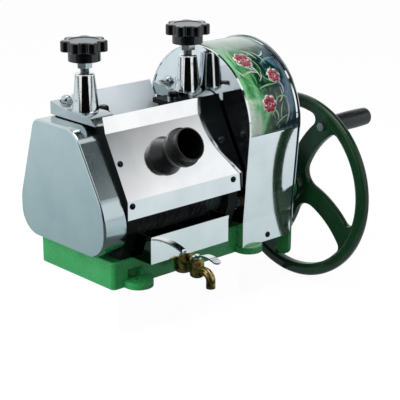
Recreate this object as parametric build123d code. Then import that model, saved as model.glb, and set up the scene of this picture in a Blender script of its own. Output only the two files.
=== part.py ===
from build123d import *
import math
import os

# A hand-cranked sugarcane juicer for the edge of a bench, in millimetres, +Z up.
# +X runs along the rollers towards the hand wheel and +Y to the back.
# The origin is the centre of the four base bolts, on the underside of the base.

# General clearances
fit = 0.05            # radial clearance of a shaft or stud in its hole
play = 0.4            # clearance of a cover round a curved piece
side_gap = 1.0        # clearance beside a turning piece
through = 2.0         # overrun of a cut
sheet = 1.5           # thickness of the stainless sheets

# Base casting
base_length = 358.0
base_depth = 205.0
base_height = 49.0
base_wall = 14.0
base_roof = 11.0
base_corner_r = 8.0
base_edge_r = 3.0
lug_spacing_x = 260.0
lug_spacing_y = 220.0
lug_r = 25.5
lug_thickness = 12.0
lug_hole_d = 13.0
lug_scallop_r = 19.0
lug_scallop_height = 18.0
arm_width = 33.0
arm_low_z = 18.0
arm_height = 26.0
arm_overlap = 23.0

# Rollers
roller_r = 50.0
roller_nip = 4.0
lower_half_y = 57.0
roller_groove = 1.2
roller_groove_pitch = 12.0
pan_rim = 17.0
pan_clearance = 6.0
top_shaft_d = 35.0
lower_shaft_d = 30.0
bush_wall = 6.0
lift_travel = 3.0

# Side frames
frame_left_inset = 30.0
frame_right_inset = 98.0
frame_thickness = 22.0
frame_margin = 11.7
frame_foot_inset = 4.5
frame_flank_rise = 51.0
frame_top_rise = 65.0
block_width = 60.0
block_height = 54.0
block_play = 0.15
frame_bolt_y = 60.0
frame_bolt_d = 12.0
frame_bolt_head_d = 20.0
frame_bolt_flats = 17.0
frame_bolt_head_h = 11.0
frame_bolt_sink = 20.0
frame_bolt_reach = 24.0

# Gears
roller_teeth = 26
drive_module = 4.0
drive_teeth = 60
pinion_teeth = 14
pressure_angle = math.radians(20)
addendum_ratio = 0.8
dedendum_ratio = 1.05
backlash = 2.1
roller_gear_width = 22.0
drive_gear_width = 28.0
pinion_width = 36.0
gear_hub_r = 24.0
drive_hub_r = 32.0
wheel_offset_y = 90.0
drive_gear_gap = 25.5

# Cap bars and towers
bar_width = 48.0
bar_front_y = 56.0
bar_rear_y = 68.0
bar_rise = 15.0
bar_rear_rise = 22.5
bar_flat_half = 24.0
nut_y = 54.0
nut_seat = 18.0
nut_flats = 19.0
nut_height = 5.0
nut_counterbore_r = 11.8
nut_dome_h = 8.55
nut_dome_round = 7.6
stud_d = 12.0
stud_depth = 26.0
ear_offset = 36.0
ear_y = -2.0
ear_r = 11.0
ear_height = 9.0
ledge_height = 8.5
ledge_hold = 12.0
ear_bolt_d = 10.0
ear_head_r = 9.5
ear_head_h = 9.0
ear_head_round = 4.5
tower_height = 64.5
tower_foot_r = 23.0
tower_top_r = 16.5
tower_round = 4.0
chamber_r = 12.0
chamber_height = 42.0

# Pressure screws, springs and knobs
screw_d = 16.0
seat_r = 11.0
seat_height = 6.0
seat_top_gap = 3.0
spring_wire = 3.5
spring_outer_d = 21.0
spring_turns = 8
jam_nut_gap = 8.5
jam_nut_flats = 24.0
jam_nut_height = 12.0
knob_hub_r = 27.5
knob_hub_height = 16.0
knob_height = 19.0
knob_core_r = 31.5
knob_lobe_r = 9.5
knob_lobe_at = 30.5
knob_lobes = 7
knob_lobe_blend = 5.0
knob_edge_r = 2.5
knob_disc_r = 25.0
knob_disc_depth = 2.0
knob_screw_in = 22.0

# Covers
end_cover_depth = 47.0
end_cover_front_in = 77.0
end_cover_front_rise = 19.0
end_cover_rear_in = 44.0
end_cover_rear_rise = 6.0
end_cover_crown_r = 45.0
end_cover_rear_crown_r = 20.0
end_cover_shoulder_r = 100.0
end_cover_rear_shoulder_r = 60.0
end_cover_foot_r = 45.0
end_cover_edge_r = 4.0
panel_left_in = 1.0
panel_cover_gap = 1.5
brow_rise = 51.8
brow_y = 64.2
panel_top_rise = 79.4
panel_top_y = 58.0
knee_rise = 34.0
panel_low_rise = 1.5
shoulder_y = 74.5
shoulder_rise = 32.4
shoulder_lap = 9.0
hood_rise = 90.5
hood_fold_y = 49.3
hood_fold_rise = 45.7
hood_low_rise = 31.0
hood_end_gap = 2.0
panel_screw_d = 5.0
panel_screw_head_r = 5.5
panel_screw_head_h = 3.0
panel_screw_round = 1.8
panel_screw_reach = 12.0
panel_screw_low_z = 25.0
panel_screw_up = 65.0
tube_offset = 2.6
tube_up = 64.0
tube_root_d = 51.0
tube_collar_d = 69.0
tube_mouth_d = 59.0
tube_wall = 2.5
tube_flare = 23.0
tube_collar_height = 7.0
tube_shoulder = 5.0
tube_mouth_height = 13.0
tube_round = 2.0
tube_in = 25.0
tube_flange_d = 76.0
tube_flange_h = 3.0
outlet_inset = 15.0
outlet_height = 46.0
outlet_up = 58.0
chute_length = 70.0
chute_fall = 12.0
chute_lip = 18.0
chute_flange = 10.0
cover_gap_x = 13.0
cover_width = 122.0
cover_gap = 12.8
cover_arc_rise = 21.0
leg_bend_z = 60.0
leg_gap = 0.3
cover_foot_gap = 0.5
cover_plate_inset = 3.0
cover_base_gap = 1.5
gasket_thickness = 2.0
gasket_width = 7.0
back_plate_lip = 3.0
cover_screw_in = 63.0
cover_screw_z = 24.0

# Turner bar
turner_gap = 5.0
turner_half_top = 13.0
turner_half_low = 7.0
turner_drop = 69.0
turner_pin_d = 12.0
turner_pin_drop = 61.0

# Hand wheel
wheel_shaft_d = 25.0
wheel_bush_wall = 5.0
bracket_thickness = 8.0
bracket_boss_r = 24.0
bracket_boss = 12.0
bracket_low_y = -97.0
bracket_low_z = -20.0
bracket_low_r = 16.0
bracket_gap = 1.5
bracket_bolt_d = 8.0
bracket_bolt_head_r = 6.0
bracket_bolt_pitch = 14.0
bracket_bolt_reach = 18.0
wheel_r = 176.5
rim_width = 23.0
rim_thickness = 18.0
rim_round = 7.0
web_thickness = 12.0
hub_r = 27.0
hub_length = 32.0
hub_gap = 2.0
rim_offset = 11.0
spoke_count = 4
spoke_width = 36.0
spoke_reach = 165.0
spoke_bow = 20.0
spoke_angle = 56.0
opening_hub_round = 30.0
opening_rim_round = 13.0
wheel_nut_flats = 35.0
wheel_nut_height = 12.0
wheel_shaft_end = 4.0
handle_inset = 33.0
handle_angle = 61.6
handle_boss_r = 14.0
spindle_d = 11.0
spindle_nut_flats = 15.0
spindle_nut_h = 6.0
grip_gap = 0.5
grip_length = 105.0
grip_d = 34.0
grip_waist = 2.0
grip_end_round = 6.0
spindle_head_r = 9.0
spindle_head_h = 4.0

# Juice tray and tap
tray_side_gap = 2.5
tray_front_y = 150.0
tray_box_y = 106.0
tray_box_short = 27.0
tray_box_height = 48.0
tray_rear_y = 92.0
hem_height = 6.0
hem_proud = 1.2
tap_in = 89.0
tap_y = -130.0
tap_axis_drop = 25.0
tap_bulb_r = 16.5
tap_bulb_low = 40.0
tap_bulb_round = 9.0
tap_flange_flats = 34.0
tap_flange_h = 7.0
tap_tail_r = 10.0
tap_tail_wall = 3.0
tap_tail_up = 12.0
tap_nut_flats = 30.0
tap_nut_height = 6.5
tap_barrel_r = 11.0
valve_y = -165.5
valve_r = 12.5
valve_below = 15.0
valve_above = 14.0
valve_foot_round = 6.25
gland_flats = 18.0
gland_height = 4.0
stem_r = 4.0
stem_in = 8.0
spout_y = -200.0
spout_r = 8.0
spout_bore_r = 5.5
spout_bend = 13.0
spout_drop = 25.5
lever_length = 71.0
lever_knee = 29.8
lever_knee_rise = 11.55
lever_end_r = 6.3
lever_turn = 12.0
lever_width = 14.0
lever_thickness = 3.0
lever_rise = 11.0
lever_hub_r = 8.0
lever_hub_h = 4.0

os.makedirs("parts", exist_ok=True)


# Small shape helpers, all in the part's own frame
def face_of(points):
    return make_face(Polyline(*points, close=True))


def prism(face, x_start, x_end):
    return extrude(Plane.YZ.offset(x_start) * face, x_end - x_start, dir=(1, 0, 0))


def rod(radius, x_start, x_end, y, z):
    return prism(Pos(y, z) * Circle(radius), x_start, x_end)


def sleeve(outer, inner, x_start, x_end, y, z):
    hole = rod(inner, x_start - through, x_end + through, y, z)
    return rod(outer, x_start, x_end, y, z) - hole


def block(x0, x1, y0, y1, z0, z1):
    box = Box(x1 - x0, y1 - y0, z1 - z0)
    return Pos((x0 + x1) / 2, (y0 + y1) / 2, (z0 + z1) / 2) * box


def post(radius, x, y, z0, z1):
    return Pos(x, y, (z0 + z1) / 2) * Cylinder(radius, z1 - z0)


def hex_post(flats, x, y, z0, z1):
    outline = RegularPolygon(flats / 2, 6, major_radius=False)
    return Pos(x, y, z0) * extrude(outline, z1 - z0)


def hex_rod(flats, x_start, x_end, y, z):
    outline = Pos(y, z) * RegularPolygon(flats / 2, 6, major_radius=False)
    return prism(outline, x_start, x_end)


def offset_path(points, distance):
    normals = []
    for a, b in zip(points, points[1:]):
        length = math.dist(a, b)
        normals.append(((a[1] - b[1]) / length, (b[0] - a[0]) / length))
    moved = []
    for i, point in enumerate(points):
        first = normals[max(i - 1, 0)]
        second = normals[min(i, len(normals) - 1)]
        mitre = 1 + first[0] * second[0] + first[1] * second[1]
        y = point[0] + distance * (first[0] + second[0]) / mitre
        z = point[1] + distance * (first[1] + second[1]) / mitre
        moved.append((y, z))
    return moved


def folded_sheet(points, x_start, x_end):
    inside = offset_path(points, sheet)
    return prism(face_of(points + inside[::-1]), x_start, x_end)


def rounded(points, radii):
    face = face_of(points)
    for point, radius in zip(points, radii):
        corner = face.vertices().sort_by_distance((point[0], point[1], 0))[0]
        face = fillet(corner, radius)
    return face


def polar(radius, angle):
    return (radius * math.cos(angle), radius * math.sin(angle), 0)


def involute(angle):
    return math.tan(angle) - angle


def gear_face(module, teeth, phase):
    pitch_r = module * teeth / 2
    base_r = pitch_r * math.cos(pressure_angle)
    tip_r = pitch_r + addendum_ratio * module
    root_r = pitch_r - dedendum_ratio * module
    low_r = max(base_r, root_r)
    mid_r = (low_r + tip_r) / 2
    half_tooth = math.pi / (2 * teeth) - backlash / (4 * pitch_r)

    def flank(radius):
        slope = math.acos(min(1.0, base_r / radius))
        return half_tooth + involute(pressure_angle) - involute(slope)

    edges = []
    step = 2 * math.pi / teeth
    for k in range(teeth):
        mid = phase + k * step
        rising = [polar(r, mid - flank(r)) for r in (low_r, mid_r, tip_r)]
        falling = [polar(r, mid + flank(r)) for r in (tip_r, mid_r, low_r)]
        foot = polar(root_r, mid - flank(low_r))
        heel = polar(root_r, mid + flank(low_r))
        next_foot = polar(root_r, mid + step - flank(low_r))
        if low_r > root_r:
            edges.append(Edge.make_line(foot, rising[0]))
            edges.append(Edge.make_line(falling[2], heel))
        edges.append(Edge.make_three_point_arc(*rising))
        edges.append(Edge.make_three_point_arc(rising[2], polar(tip_r, mid), falling[0]))
        edges.append(Edge.make_three_point_arc(*falling))
        edges.append(Edge.make_three_point_arc(heel, polar(root_r, mid + step / 2), next_foot))
    return Face(Wire(edges))


def meshing_phase(phase_a, teeth_a, centre_a, teeth_b, centre_b):
    toward = math.atan2(centre_b[1] - centre_a[1], centre_b[0] - centre_a[0])
    travel = teeth_a / teeth_b * (phase_a - toward)
    return toward + math.pi - travel + math.pi / teeth_b


def helix_tube(radius, wire_r, z_low, z_high, turns):
    halves = 2 * turns
    rise = (z_high - z_low) / halves
    slope = math.atan2(rise, radius * math.pi)
    edges = []
    points = []
    for k in range(halves):
        a0 = k * math.pi
        a1 = a0 + math.pi
        p0 = Vector(radius * math.cos(a0), radius * math.sin(a0), z_low + k * rise)
        p1 = Vector(radius * math.cos(a1), radius * math.sin(a1), z_low + (k + 1) * rise)
        t0 = Vector(-math.sin(a0) * math.cos(slope), math.cos(a0) * math.cos(slope), math.sin(slope))
        t1 = Vector(-math.sin(a1) * math.cos(slope), math.cos(a1) * math.cos(slope), math.sin(slope))
        v = p1 - p0
        vt = v.dot(t0 + t1)
        a = 2 * (1 - t0.dot(t1))
        d = (math.sqrt(vt * vt + a * v.dot(v)) - vt) / a
        joint = (p0 + p1 + (t0 - t1) * d) * 0.5
        first = Edge.make_tangent_arc(p0, t0, joint)
        second = Edge.make_tangent_arc(joint, first.tangent_at(1), p1)
        edges += [first, second]
        points += [first.position_at(f) for f in (0.0, 0.5)] + [second.position_at(f) for f in (0.0, 0.5)]
    path = Wire(edges)
    start = Plane(origin=path.position_at(0), z_dir=path.tangent_at(0))
    turn = len(points) // turns
    gap = min((points[i] - points[i + turn]).length for i in range(len(points) - turn)) - 2 * wire_r
    print("spring gap between turns", round(gap, 2))
    return sweep(start * Circle(wire_r), path=path)


def save(shape, node):
    export_step(shape, "parts/" + node + ".step")


# Positions that follow from the sizes
left_x = -base_length / 2 + frame_left_inset
right_x = base_length / 2 - frame_right_inset
left_out = left_x - frame_thickness / 2
left_in = left_x + frame_thickness / 2
right_in = right_x - frame_thickness / 2
right_out = right_x + frame_thickness / 2
roller_x0 = left_in + side_gap
roller_x1 = right_in - side_gap
roller_mid_x = (roller_x0 + roller_x1) / 2
roller_distance = 2 * roller_r + roller_nip
roller_module = roller_distance / roller_teeth
lower_z = base_height + pan_rim + pan_clearance + roller_r
top_z = lower_z + math.sqrt(roller_distance ** 2 - lower_half_y ** 2)
drive_distance = drive_module * (drive_teeth + pinion_teeth) / 2
wheel_y = -wheel_offset_y
wheel_z = top_z - math.sqrt(drive_distance ** 2 - wheel_offset_y ** 2)
drive_tip_r = drive_module * (drive_teeth / 2 + addendum_ratio)
pinion_tip_r = drive_module * (pinion_teeth / 2 + addendum_ratio)
frame_half_y = lower_half_y + roller_r + frame_margin
frame_top = top_z + frame_top_rise
flank_z = base_height + frame_flank_rise
foot_half_y = base_depth / 2 - frame_foot_inset
panel_y = frame_half_y + sheet
panel_x0 = left_out + panel_left_in
knee_z = lower_z + knee_rise
brow_z = top_z + brow_rise
shoulder_z = top_z + shoulder_rise
panel_low_z = lower_z + panel_low_rise
bar_top = frame_top + bar_rise
tower_top = bar_top + tower_height
chamber_top = bar_top + chamber_height
seat_top = chamber_top - seat_top_gap
seat_low = seat_top - seat_height
block_low = top_z - block_height / 2
block_top = top_z + block_height / 2
cover_x0 = right_out + cover_gap_x
cover_x1 = cover_x0 + cover_width
panel_x1 = cover_x0 - panel_cover_gap
cover_screw_x = cover_x0 + cover_screw_in
cover_r = drive_tip_r + cover_gap
cover_arc_z = top_z + cover_arc_rise
leg_half_y = wheel_offset_y + pinion_tip_r + leg_gap
cover_foot_z = lug_thickness + cover_foot_gap
gasket_x1 = cover_x1 + gasket_thickness
back_x1 = gasket_x1 + sheet
bracket_x0 = back_x1 + bracket_gap
bracket_x1 = bracket_x0 + bracket_thickness
hub_x0 = bracket_x1 + bracket_boss + hub_gap
hub_x1 = hub_x0 + hub_length
rim_x0 = hub_x0 + rim_offset
rim_x1 = rim_x0 + rim_thickness
web_x0 = rim_x0 + (rim_thickness - web_thickness) / 2
web_x1 = web_x0 + web_thickness
arm_outer_y = leg_half_y - sheet
arm_inner_y = arm_outer_y - arm_width
arm_x0 = base_length / 2 - arm_overlap
arm_top_z = arm_low_z + arm_height
gear_x1 = left_out - bush_wall
gear_x0 = gear_x1 - roller_gear_width
drive_x0 = cover_x0 + cover_plate_inset + sheet + drive_gear_gap
drive_x1 = drive_x0 + drive_gear_width
pinion_x0 = drive_x0 - (pinion_width - drive_gear_width) / 2
pinion_x1 = pinion_x0 + pinion_width

front_path = [(-panel_top_y, top_z + panel_top_rise), (-brow_y, brow_z)]
front_path += [(-panel_y, knee_z), (-panel_y, panel_low_z)]
rear_path = [(panel_y, panel_low_z), (panel_y, knee_z)]
rear_path += [(shoulder_y, shoulder_z), (shoulder_y, shoulder_z + shoulder_lap)]
hood_path = [(shoulder_y, shoulder_z + sheet), (shoulder_y, top_z + hood_rise)]
hood_path += [(hood_fold_y, top_z + hood_fold_rise), (hood_fold_y, top_z + hood_low_rise)]


def slope_plane(knee, crown, up, x, toward):
    length = math.dist(knee, crown)
    along = ((crown[0] - knee[0]) / length, (crown[1] - knee[1]) / length)
    origin = (x, knee[0] + along[0] * up, knee[1] + along[1] * up)
    return Plane(origin=origin, x_dir=(1, 0, 0), z_dir=(0, toward * along[1], -toward * along[0]))


def front_slope(x, up):
    return slope_plane(front_path[2], front_path[1], up, x, -1)


def rear_slope(x, up):
    return slope_plane(rear_path[1], rear_path[2], up, x, 1)


# Sheet-metal screws of the front panel and rear cover, each on its own plane
screw_planes = []
for x in (left_x, right_x):
    for sign in (-1, 1):
        spot = (x, sign * panel_y, lower_z + panel_screw_low_z)
        screw_planes.append(Plane(origin=spot, x_dir=(1, 0, 0), z_dir=(0, sign, 0)))
    screw_planes.append(front_slope(x, panel_screw_up))
    screw_planes.append(rear_slope(x, panel_screw_up))


def dome_screw(plane):
    head = extrude(plane * Circle(panel_screw_head_r), panel_screw_head_h)
    crown = head.edges().group_by(Axis(plane.origin, plane.z_dir))[-1]
    head = fillet(crown, panel_screw_round)
    return head + extrude(plane * Circle(panel_screw_d / 2), -panel_screw_reach)


def screw_hole(plane, reach):
    hole = plane.offset(through) * Circle(panel_screw_d / 2 + fit)
    return extrude(hole, -reach - through - fit)


panel_screws = []
panel_holes = []
for plane in screw_planes:
    panel_screws.append(dome_screw(plane))
    panel_holes.append(screw_hole(plane, panel_screw_reach))
save(Compound(panel_screws), "panel_screws")

# Base casting with its four bolt lugs and the two arms that carry the wheel end
base = Box(base_length, base_depth, base_height, align=(Align.CENTER, Align.CENTER, Align.MIN))
base = fillet(base.edges().filter_by(Axis.Z), base_corner_r)
base = fillet(base.faces().sort_by(Axis.Z)[-1].edges(), base_edge_r)
pocket_x0 = left_in + base_wall
pocket_x1 = right_in - base_wall
pocket_y = base_depth / 2 - base_wall
pocket = block(pocket_x0, pocket_x1, -pocket_y, pocket_y, -through, base_height - base_roof)
base -= fillet(pocket.edges().filter_by(Axis.Z), base_corner_r)
lug_points = []
for sx in (-1, 1):
    for sy in (-1, 1):
        lug_points.append((sx * lug_spacing_x / 2, sy * lug_spacing_y / 2, sy))
for x, y, sy in lug_points:
    near = min(y, y - sy * lug_r)
    far = max(y, y - sy * lug_r)
    base += post(lug_r, x, y, 0, lug_thickness)
    base += block(x - lug_r, x + lug_r, near, far, 0, lug_thickness)
for x, y, sy in lug_points:
    base -= post(lug_scallop_r, x, y, lug_thickness, lug_thickness + lug_scallop_height)
    base -= post(lug_hole_d / 2, x, y, -through, lug_thickness + through)
for sy in (-1, 1):
    near = min(sy * arm_inner_y, sy * arm_outer_y)
    far = max(sy * arm_inner_y, sy * arm_outer_y)
    base += block(arm_x0, bracket_x0, near, far, arm_low_z, arm_top_z)
frame_bolts = []
for x in (left_x, right_x):
    for sy in (-1, 1):
        y = sy * frame_bolt_y
        top = base_height + frame_bolt_reach
        base -= post(frame_bolt_head_d / 2 + play, x, y, -through, frame_bolt_sink)
        base -= post(frame_bolt_d / 2 + fit, x, y, 0, base_height + through)
        bolt = hex_post(frame_bolt_flats, x, y, frame_bolt_sink - frame_bolt_head_h, frame_bolt_sink)
        frame_bolts.append(bolt + post(frame_bolt_d / 2, x, y, frame_bolt_sink, top))
bracket_bolts = []
for side in (-1, 1):
    z = arm_low_z + arm_height / 2 + side * bracket_bolt_pitch / 2
    y = -arm_inner_y - arm_width / 2
    bolt = rod(bracket_bolt_d / 2, bracket_x0 - bracket_bolt_reach, bracket_x1, y, z)
    bolt += rod(bracket_bolt_head_r, bracket_x1, bracket_x1 + bracket_bolt_d, y, z)
    hole_x0 = bracket_x0 - bracket_bolt_reach - fit
    base -= rod(bracket_bolt_d / 2 + fit, hole_x0, bracket_x0 + through, y, z)
    bracket_bolts.append(bolt)
cover_screws = []
cover_screw_planes = []
for sy in (-1, 1):
    spot = (cover_screw_x, sy * leg_half_y, cover_screw_z)
    plane = Plane(origin=spot, x_dir=(1, 0, 0), z_dir=(0, sy, 0))
    cover_screw_planes.append(plane)
    cover_screws.append(dome_screw(plane))
    base -= screw_hole(plane, panel_screw_reach)
save(base, "base_casting")
save(Compound(frame_bolts), "frame_bolts")
save(Compound(bracket_bolts), "bracket_bolts")
save(Compound(cover_screws), "gear_cover_screws")

# Side frames, open at the top for the sliding bearing blocks
inner_front = offset_path(front_path, sheet)
inner_rear = offset_path(rear_path, sheet)
share = (frame_top - inner_front[1][1]) / (inner_front[0][1] - inner_front[1][1])
crown_y = inner_front[1][0] + share * (inner_front[0][0] - inner_front[1][0])
frame_points = [(-foot_half_y, base_height), (-frame_half_y, flank_z), inner_front[2], inner_front[1]]
frame_points += [(crown_y, frame_top), (inner_rear[2][0], frame_top), inner_rear[2], inner_rear[1]]
frame_points += [(frame_half_y, flank_z), (foot_half_y, base_height)]
slot_half = block_width / 2 + block_play
lower_bush_r = lower_shaft_d / 2 + bush_wall
top_bush_r = top_shaft_d / 2 + bush_wall
wheel_bush_r = wheel_shaft_d / 2 + wheel_bush_wall


def side_frame(x_mid, inward):
    x0 = x_mid - frame_thickness / 2
    x1 = x_mid + frame_thickness / 2
    frame = prism(face_of(frame_points), x0, x1)
    ledge_x = x_mid + inward * ear_offset
    ledge_end = ledge_x + inward * ear_r
    low = frame_top - ledge_height
    ledge_half = slot_half + ledge_hold
    frame += block(min(x_mid, ledge_end), max(x_mid, ledge_end), -ledge_half, ledge_half, low, frame_top)
    slot = block(x0, x1, -slot_half, slot_half, block_low, frame_top + through)
    slot += post(chamber_r, x_mid, 0, low - through, frame_top + through)
    frame -= slot
    for y in (-lower_half_y, lower_half_y):
        frame -= rod(lower_bush_r + fit, x0 - through, x1 + through, y, lower_z)
    frame -= rod(turner_pin_d / 2 + fit, x0 - through, x1 + through, 0, top_z - turner_pin_drop)
    frame -= post(stud_d / 2 + fit, x_mid, nut_y, frame_top - stud_depth - fit, frame_top + through)
    frame -= post(ear_bolt_d / 2 + fit, ledge_x, ear_y, low - through, frame_top + through)
    for y in (-frame_bolt_y, frame_bolt_y):
        frame -= post(frame_bolt_d / 2 + fit, x_mid, y, 0, base_height + frame_bolt_reach + fit)
    for hole in panel_holes:
        frame -= hole
    return frame


left_frame = side_frame(left_x, 1)
right_frame = side_frame(right_x, -1)
right_frame -= rod(wheel_bush_r + fit, right_in - through, right_out + through, wheel_y, wheel_z)
save(left_frame, "left_side_frame")
save(right_frame, "right_side_frame")

# Bushes
lower_bushes = []
top_bushes = []
for x in (left_x, right_x):
    x0 = x - frame_thickness / 2
    x1 = x + frame_thickness / 2
    for y in (-lower_half_y, lower_half_y):
        lower_bushes.append(sleeve(lower_bush_r, lower_shaft_d / 2 + fit, x0, x1, y, lower_z))
    top_bushes.append(sleeve(top_bush_r, top_shaft_d / 2 + fit, x0, x1, 0, top_z))
save(Compound(lower_bushes), "lower_bushes")
save(Compound(top_bushes), "top_bushes")
wheel_bore = wheel_shaft_d / 2 + fit
inner_bush = sleeve(wheel_bush_r, wheel_bore, right_in, right_out, wheel_y, wheel_z)
outer_bush = sleeve(wheel_bush_r, wheel_bore, bracket_x0, bracket_x1 + bracket_boss, wheel_y, wheel_z)
save(Compound([inner_bush, outer_bush]), "wheel_shaft_bushes")

# Sliding bearing blocks, cap bars, towers and the spring pressure on each side
for side, x, inward in (("left", left_x, 1), ("right", right_x, -1)):
    x0 = x - frame_thickness / 2
    x1 = x + frame_thickness / 2
    bearing = block(x0, x1, -block_width / 2, block_width / 2, block_low, block_top)
    bearing -= rod(top_bush_r + fit, x0 - through, x1 + through, 0, top_z)
    save(bearing, side + "_bearing_block")

    bar_outline = [Edge.make_line((-bar_front_y, frame_top, 0), (bar_rear_y, frame_top, 0))]
    rear_top = frame_top + bar_rear_rise
    bar_outline.append(Edge.make_line((bar_rear_y, frame_top, 0), (bar_rear_y, rear_top, 0)))
    bar_outline.append(Edge.make_line((bar_rear_y, rear_top, 0), (bar_flat_half, bar_top, 0)))
    bar_outline.append(Edge.make_line((bar_flat_half, bar_top, 0), (-bar_flat_half, bar_top, 0)))
    nose_start = Vector(-bar_flat_half, bar_top, 0)
    nose_end = Vector(-bar_front_y, frame_top, 0)
    bar_outline.append(Edge.make_tangent_arc(nose_start, Vector(-1, 0, 0), nose_end))
    bar = prism(Face(Wire(bar_outline)), x - bar_width / 2, x + bar_width / 2)
    ear_x = x + inward * ear_offset
    ear_top = frame_top + ear_height
    bar += post(ear_r, ear_x, ear_y, frame_top, ear_top)
    bar += block(min(x, ear_x), max(x, ear_x), ear_y - ear_r, ear_y + ear_r, frame_top, ear_top)
    bar -= post(chamber_r, x, 0, frame_top - through, rear_top)
    nut_z = frame_top + nut_seat
    bar -= post(nut_counterbore_r, x, nut_y, nut_z, rear_top + through)
    bar -= post(stud_d / 2 + fit, x, nut_y, frame_top - through, nut_z + through)
    bar -= post(ear_bolt_d / 2 + fit, ear_x, ear_y, frame_top - through, ear_top + through)
    save(bar, side + "_cap_bar")

    tower = Pos(x, 0, bar_top + tower_height / 2) * Cone(tower_foot_r, tower_top_r, tower_height)
    tower = fillet(tower.edges().sort_by(Axis.Z)[-1], tower_round)
    tower -= post(chamber_r, x, 0, bar_top - through, chamber_top)
    tower -= post(screw_d / 2 + fit, x, 0, bar_top, tower_top + through)
    save(tower, side + "_tower")

    wire_r = spring_wire / 2
    coil_r = spring_outer_d / 2 - wire_r
    coil = helix_tube(coil_r, wire_r, block_top + wire_r, seat_low - wire_r, spring_turns)
    save(Pos(x, 0, 0) * coil, side + "_spring")
    save(post(seat_r, x, 0, seat_low, seat_top), side + "_spring_seat")

    nut_low = tower_top + jam_nut_gap
    hub_low = nut_low + jam_nut_height
    lobes_low = hub_low + knob_hub_height
    knob_top = lobes_low + knob_height
    screw_top = hub_low + knob_screw_in
    save(post(screw_d / 2, x, 0, seat_top, screw_top), side + "_pressure_screw")
    jam_nut = hex_post(jam_nut_flats, x, 0, nut_low, hub_low)
    jam_nut -= post(screw_d / 2 + fit, x, 0, nut_low - through, hub_low + through)
    save(jam_nut, side + "_jam_nut")
    star = Circle(knob_core_r)
    for k in range(knob_lobes):
        star += Rot(0, 0, 360 * k / knob_lobes) * Pos(knob_lobe_at, 0) * Circle(knob_lobe_r)
    star = fillet(star.vertices(), knob_lobe_blend)
    grip = extrude(star, knob_height)
    grip_ends = grip.faces().sort_by(Axis.Z)
    grip = fillet(grip_ends[0].edges() + grip_ends[-1].edges(), knob_edge_r)
    knob = Pos(x, 0, lobes_low) * grip + post(knob_hub_r, x, 0, hub_low, lobes_low + knob_edge_r)
    knob -= post(screw_d / 2 + fit, x, 0, hub_low - through, screw_top + fit)
    disc_low = knob_top - knob_disc_depth
    knob -= post(knob_disc_r + fit, x, 0, disc_low, knob_top + through)
    save(knob, side + "_star_knob")
    save(post(knob_disc_r, x, 0, disc_low, knob_top - knob_disc_depth / 2), side + "_knob_disc")

cap_nuts = []
cap_bolts = []
for x, inward in ((left_x, 1), (right_x, -1)):
    nut_z = frame_top + nut_seat
    dome = post(nut_flats / 2, x, nut_y, nut_z + nut_height, nut_z + nut_height + nut_dome_h)
    dome = fillet(dome.edges().sort_by(Axis.Z)[-1], nut_dome_round)
    nut = hex_post(nut_flats, x, nut_y, nut_z, nut_z + nut_height) + dome
    cap_nuts.append(nut + post(stud_d / 2, x, nut_y, frame_top - stud_depth, nut_z))
    ear_x = x + inward * ear_offset
    head_z = frame_top + ear_height
    head = post(ear_head_r, ear_x, ear_y, head_z, head_z + ear_head_h)
    head = fillet(head.edges().sort_by(Axis.Z)[-1], ear_head_round)
    cap_bolts.append(head + post(ear_bolt_d / 2, ear_x, ear_y, frame_top - ledge_height, head_z))
save(Compound(cap_nuts), "rear_cap_nuts")
save(Compound(cap_bolts), "front_cap_bolts")


# Rollers with shallow juice grooves
def roller(y, z, bore_r):
    profile = [(roller_x0, bore_r), (roller_x0, roller_r)]
    count = int((roller_x1 - roller_x0) / roller_groove_pitch)
    first = roller_mid_x - (count - 1) * roller_groove_pitch / 2
    for k in range(count):
        x = first + k * roller_groove_pitch
        profile += [(x - roller_groove, roller_r), (x, roller_r - roller_groove)]
        profile += [(x + roller_groove, roller_r)]
    profile += [(roller_x1, roller_r), (roller_x1, bore_r)]
    return Pos(0, y, z) * revolve(Plane.XZ * face_of(profile), Axis.X)


top_r = top_shaft_d / 2
lower_r = lower_shaft_d / 2
save(roller(0, top_z, top_r + fit), "top_roller")
save(rod(top_r, gear_x0, drive_x1 + bush_wall, 0, top_z), "top_roller_shaft")
for side, y in (("front", -lower_half_y), ("rear", lower_half_y)):
    shaft = rod(lower_r, gear_x0, right_out + side_gap, y, lower_z)
    save(roller(y, lower_z, lower_r - side_gap) + shaft, side + "_roller")

# Meshing gears: three at the left end, the drive gear and pinion at the right
top_phase = math.pi / 2
top_centre = (0, top_z)


def geared(face, hub, x0, x1, hub_x0, hub_x1, bore_r, y, z):
    body = Pos(0, y, z) * prism(face, x0, x1) + rod(hub, hub_x0, hub_x1, y, z)
    return body - rod(bore_r + fit, hub_x0 - through, hub_x1 + through, y, z)


hub_end = left_out - play
top_face = gear_face(roller_module, roller_teeth, top_phase)
save(geared(top_face, gear_hub_r, gear_x0, gear_x1, gear_x0, hub_end, top_r, 0, top_z), "top_roller_gear")
for side, y in (("front", -lower_half_y), ("rear", lower_half_y)):
    phase = meshing_phase(top_phase, roller_teeth, top_centre, roller_teeth, (y, lower_z))
    face = gear_face(roller_module, roller_teeth, phase)
    gear = geared(face, gear_hub_r, gear_x0, gear_x1, gear_x0, hub_end, lower_r, y, lower_z)
    save(gear, side + "_roller_gear")
drive_face = gear_face(drive_module, drive_teeth, top_phase)
hub_x = (drive_x0 - bush_wall, drive_x1 + bush_wall)
save(geared(drive_face, drive_hub_r, drive_x0, drive_x1, *hub_x, top_r, 0, top_z), "drive_gear")
pinion_phase = meshing_phase(top_phase, drive_teeth, top_centre, pinion_teeth, (wheel_y, wheel_z))
pinion_face = gear_face(drive_module, pinion_teeth, pinion_phase)
pinion = Pos(0, wheel_y, wheel_z) * prism(pinion_face, pinion_x0, pinion_x1)
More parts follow.
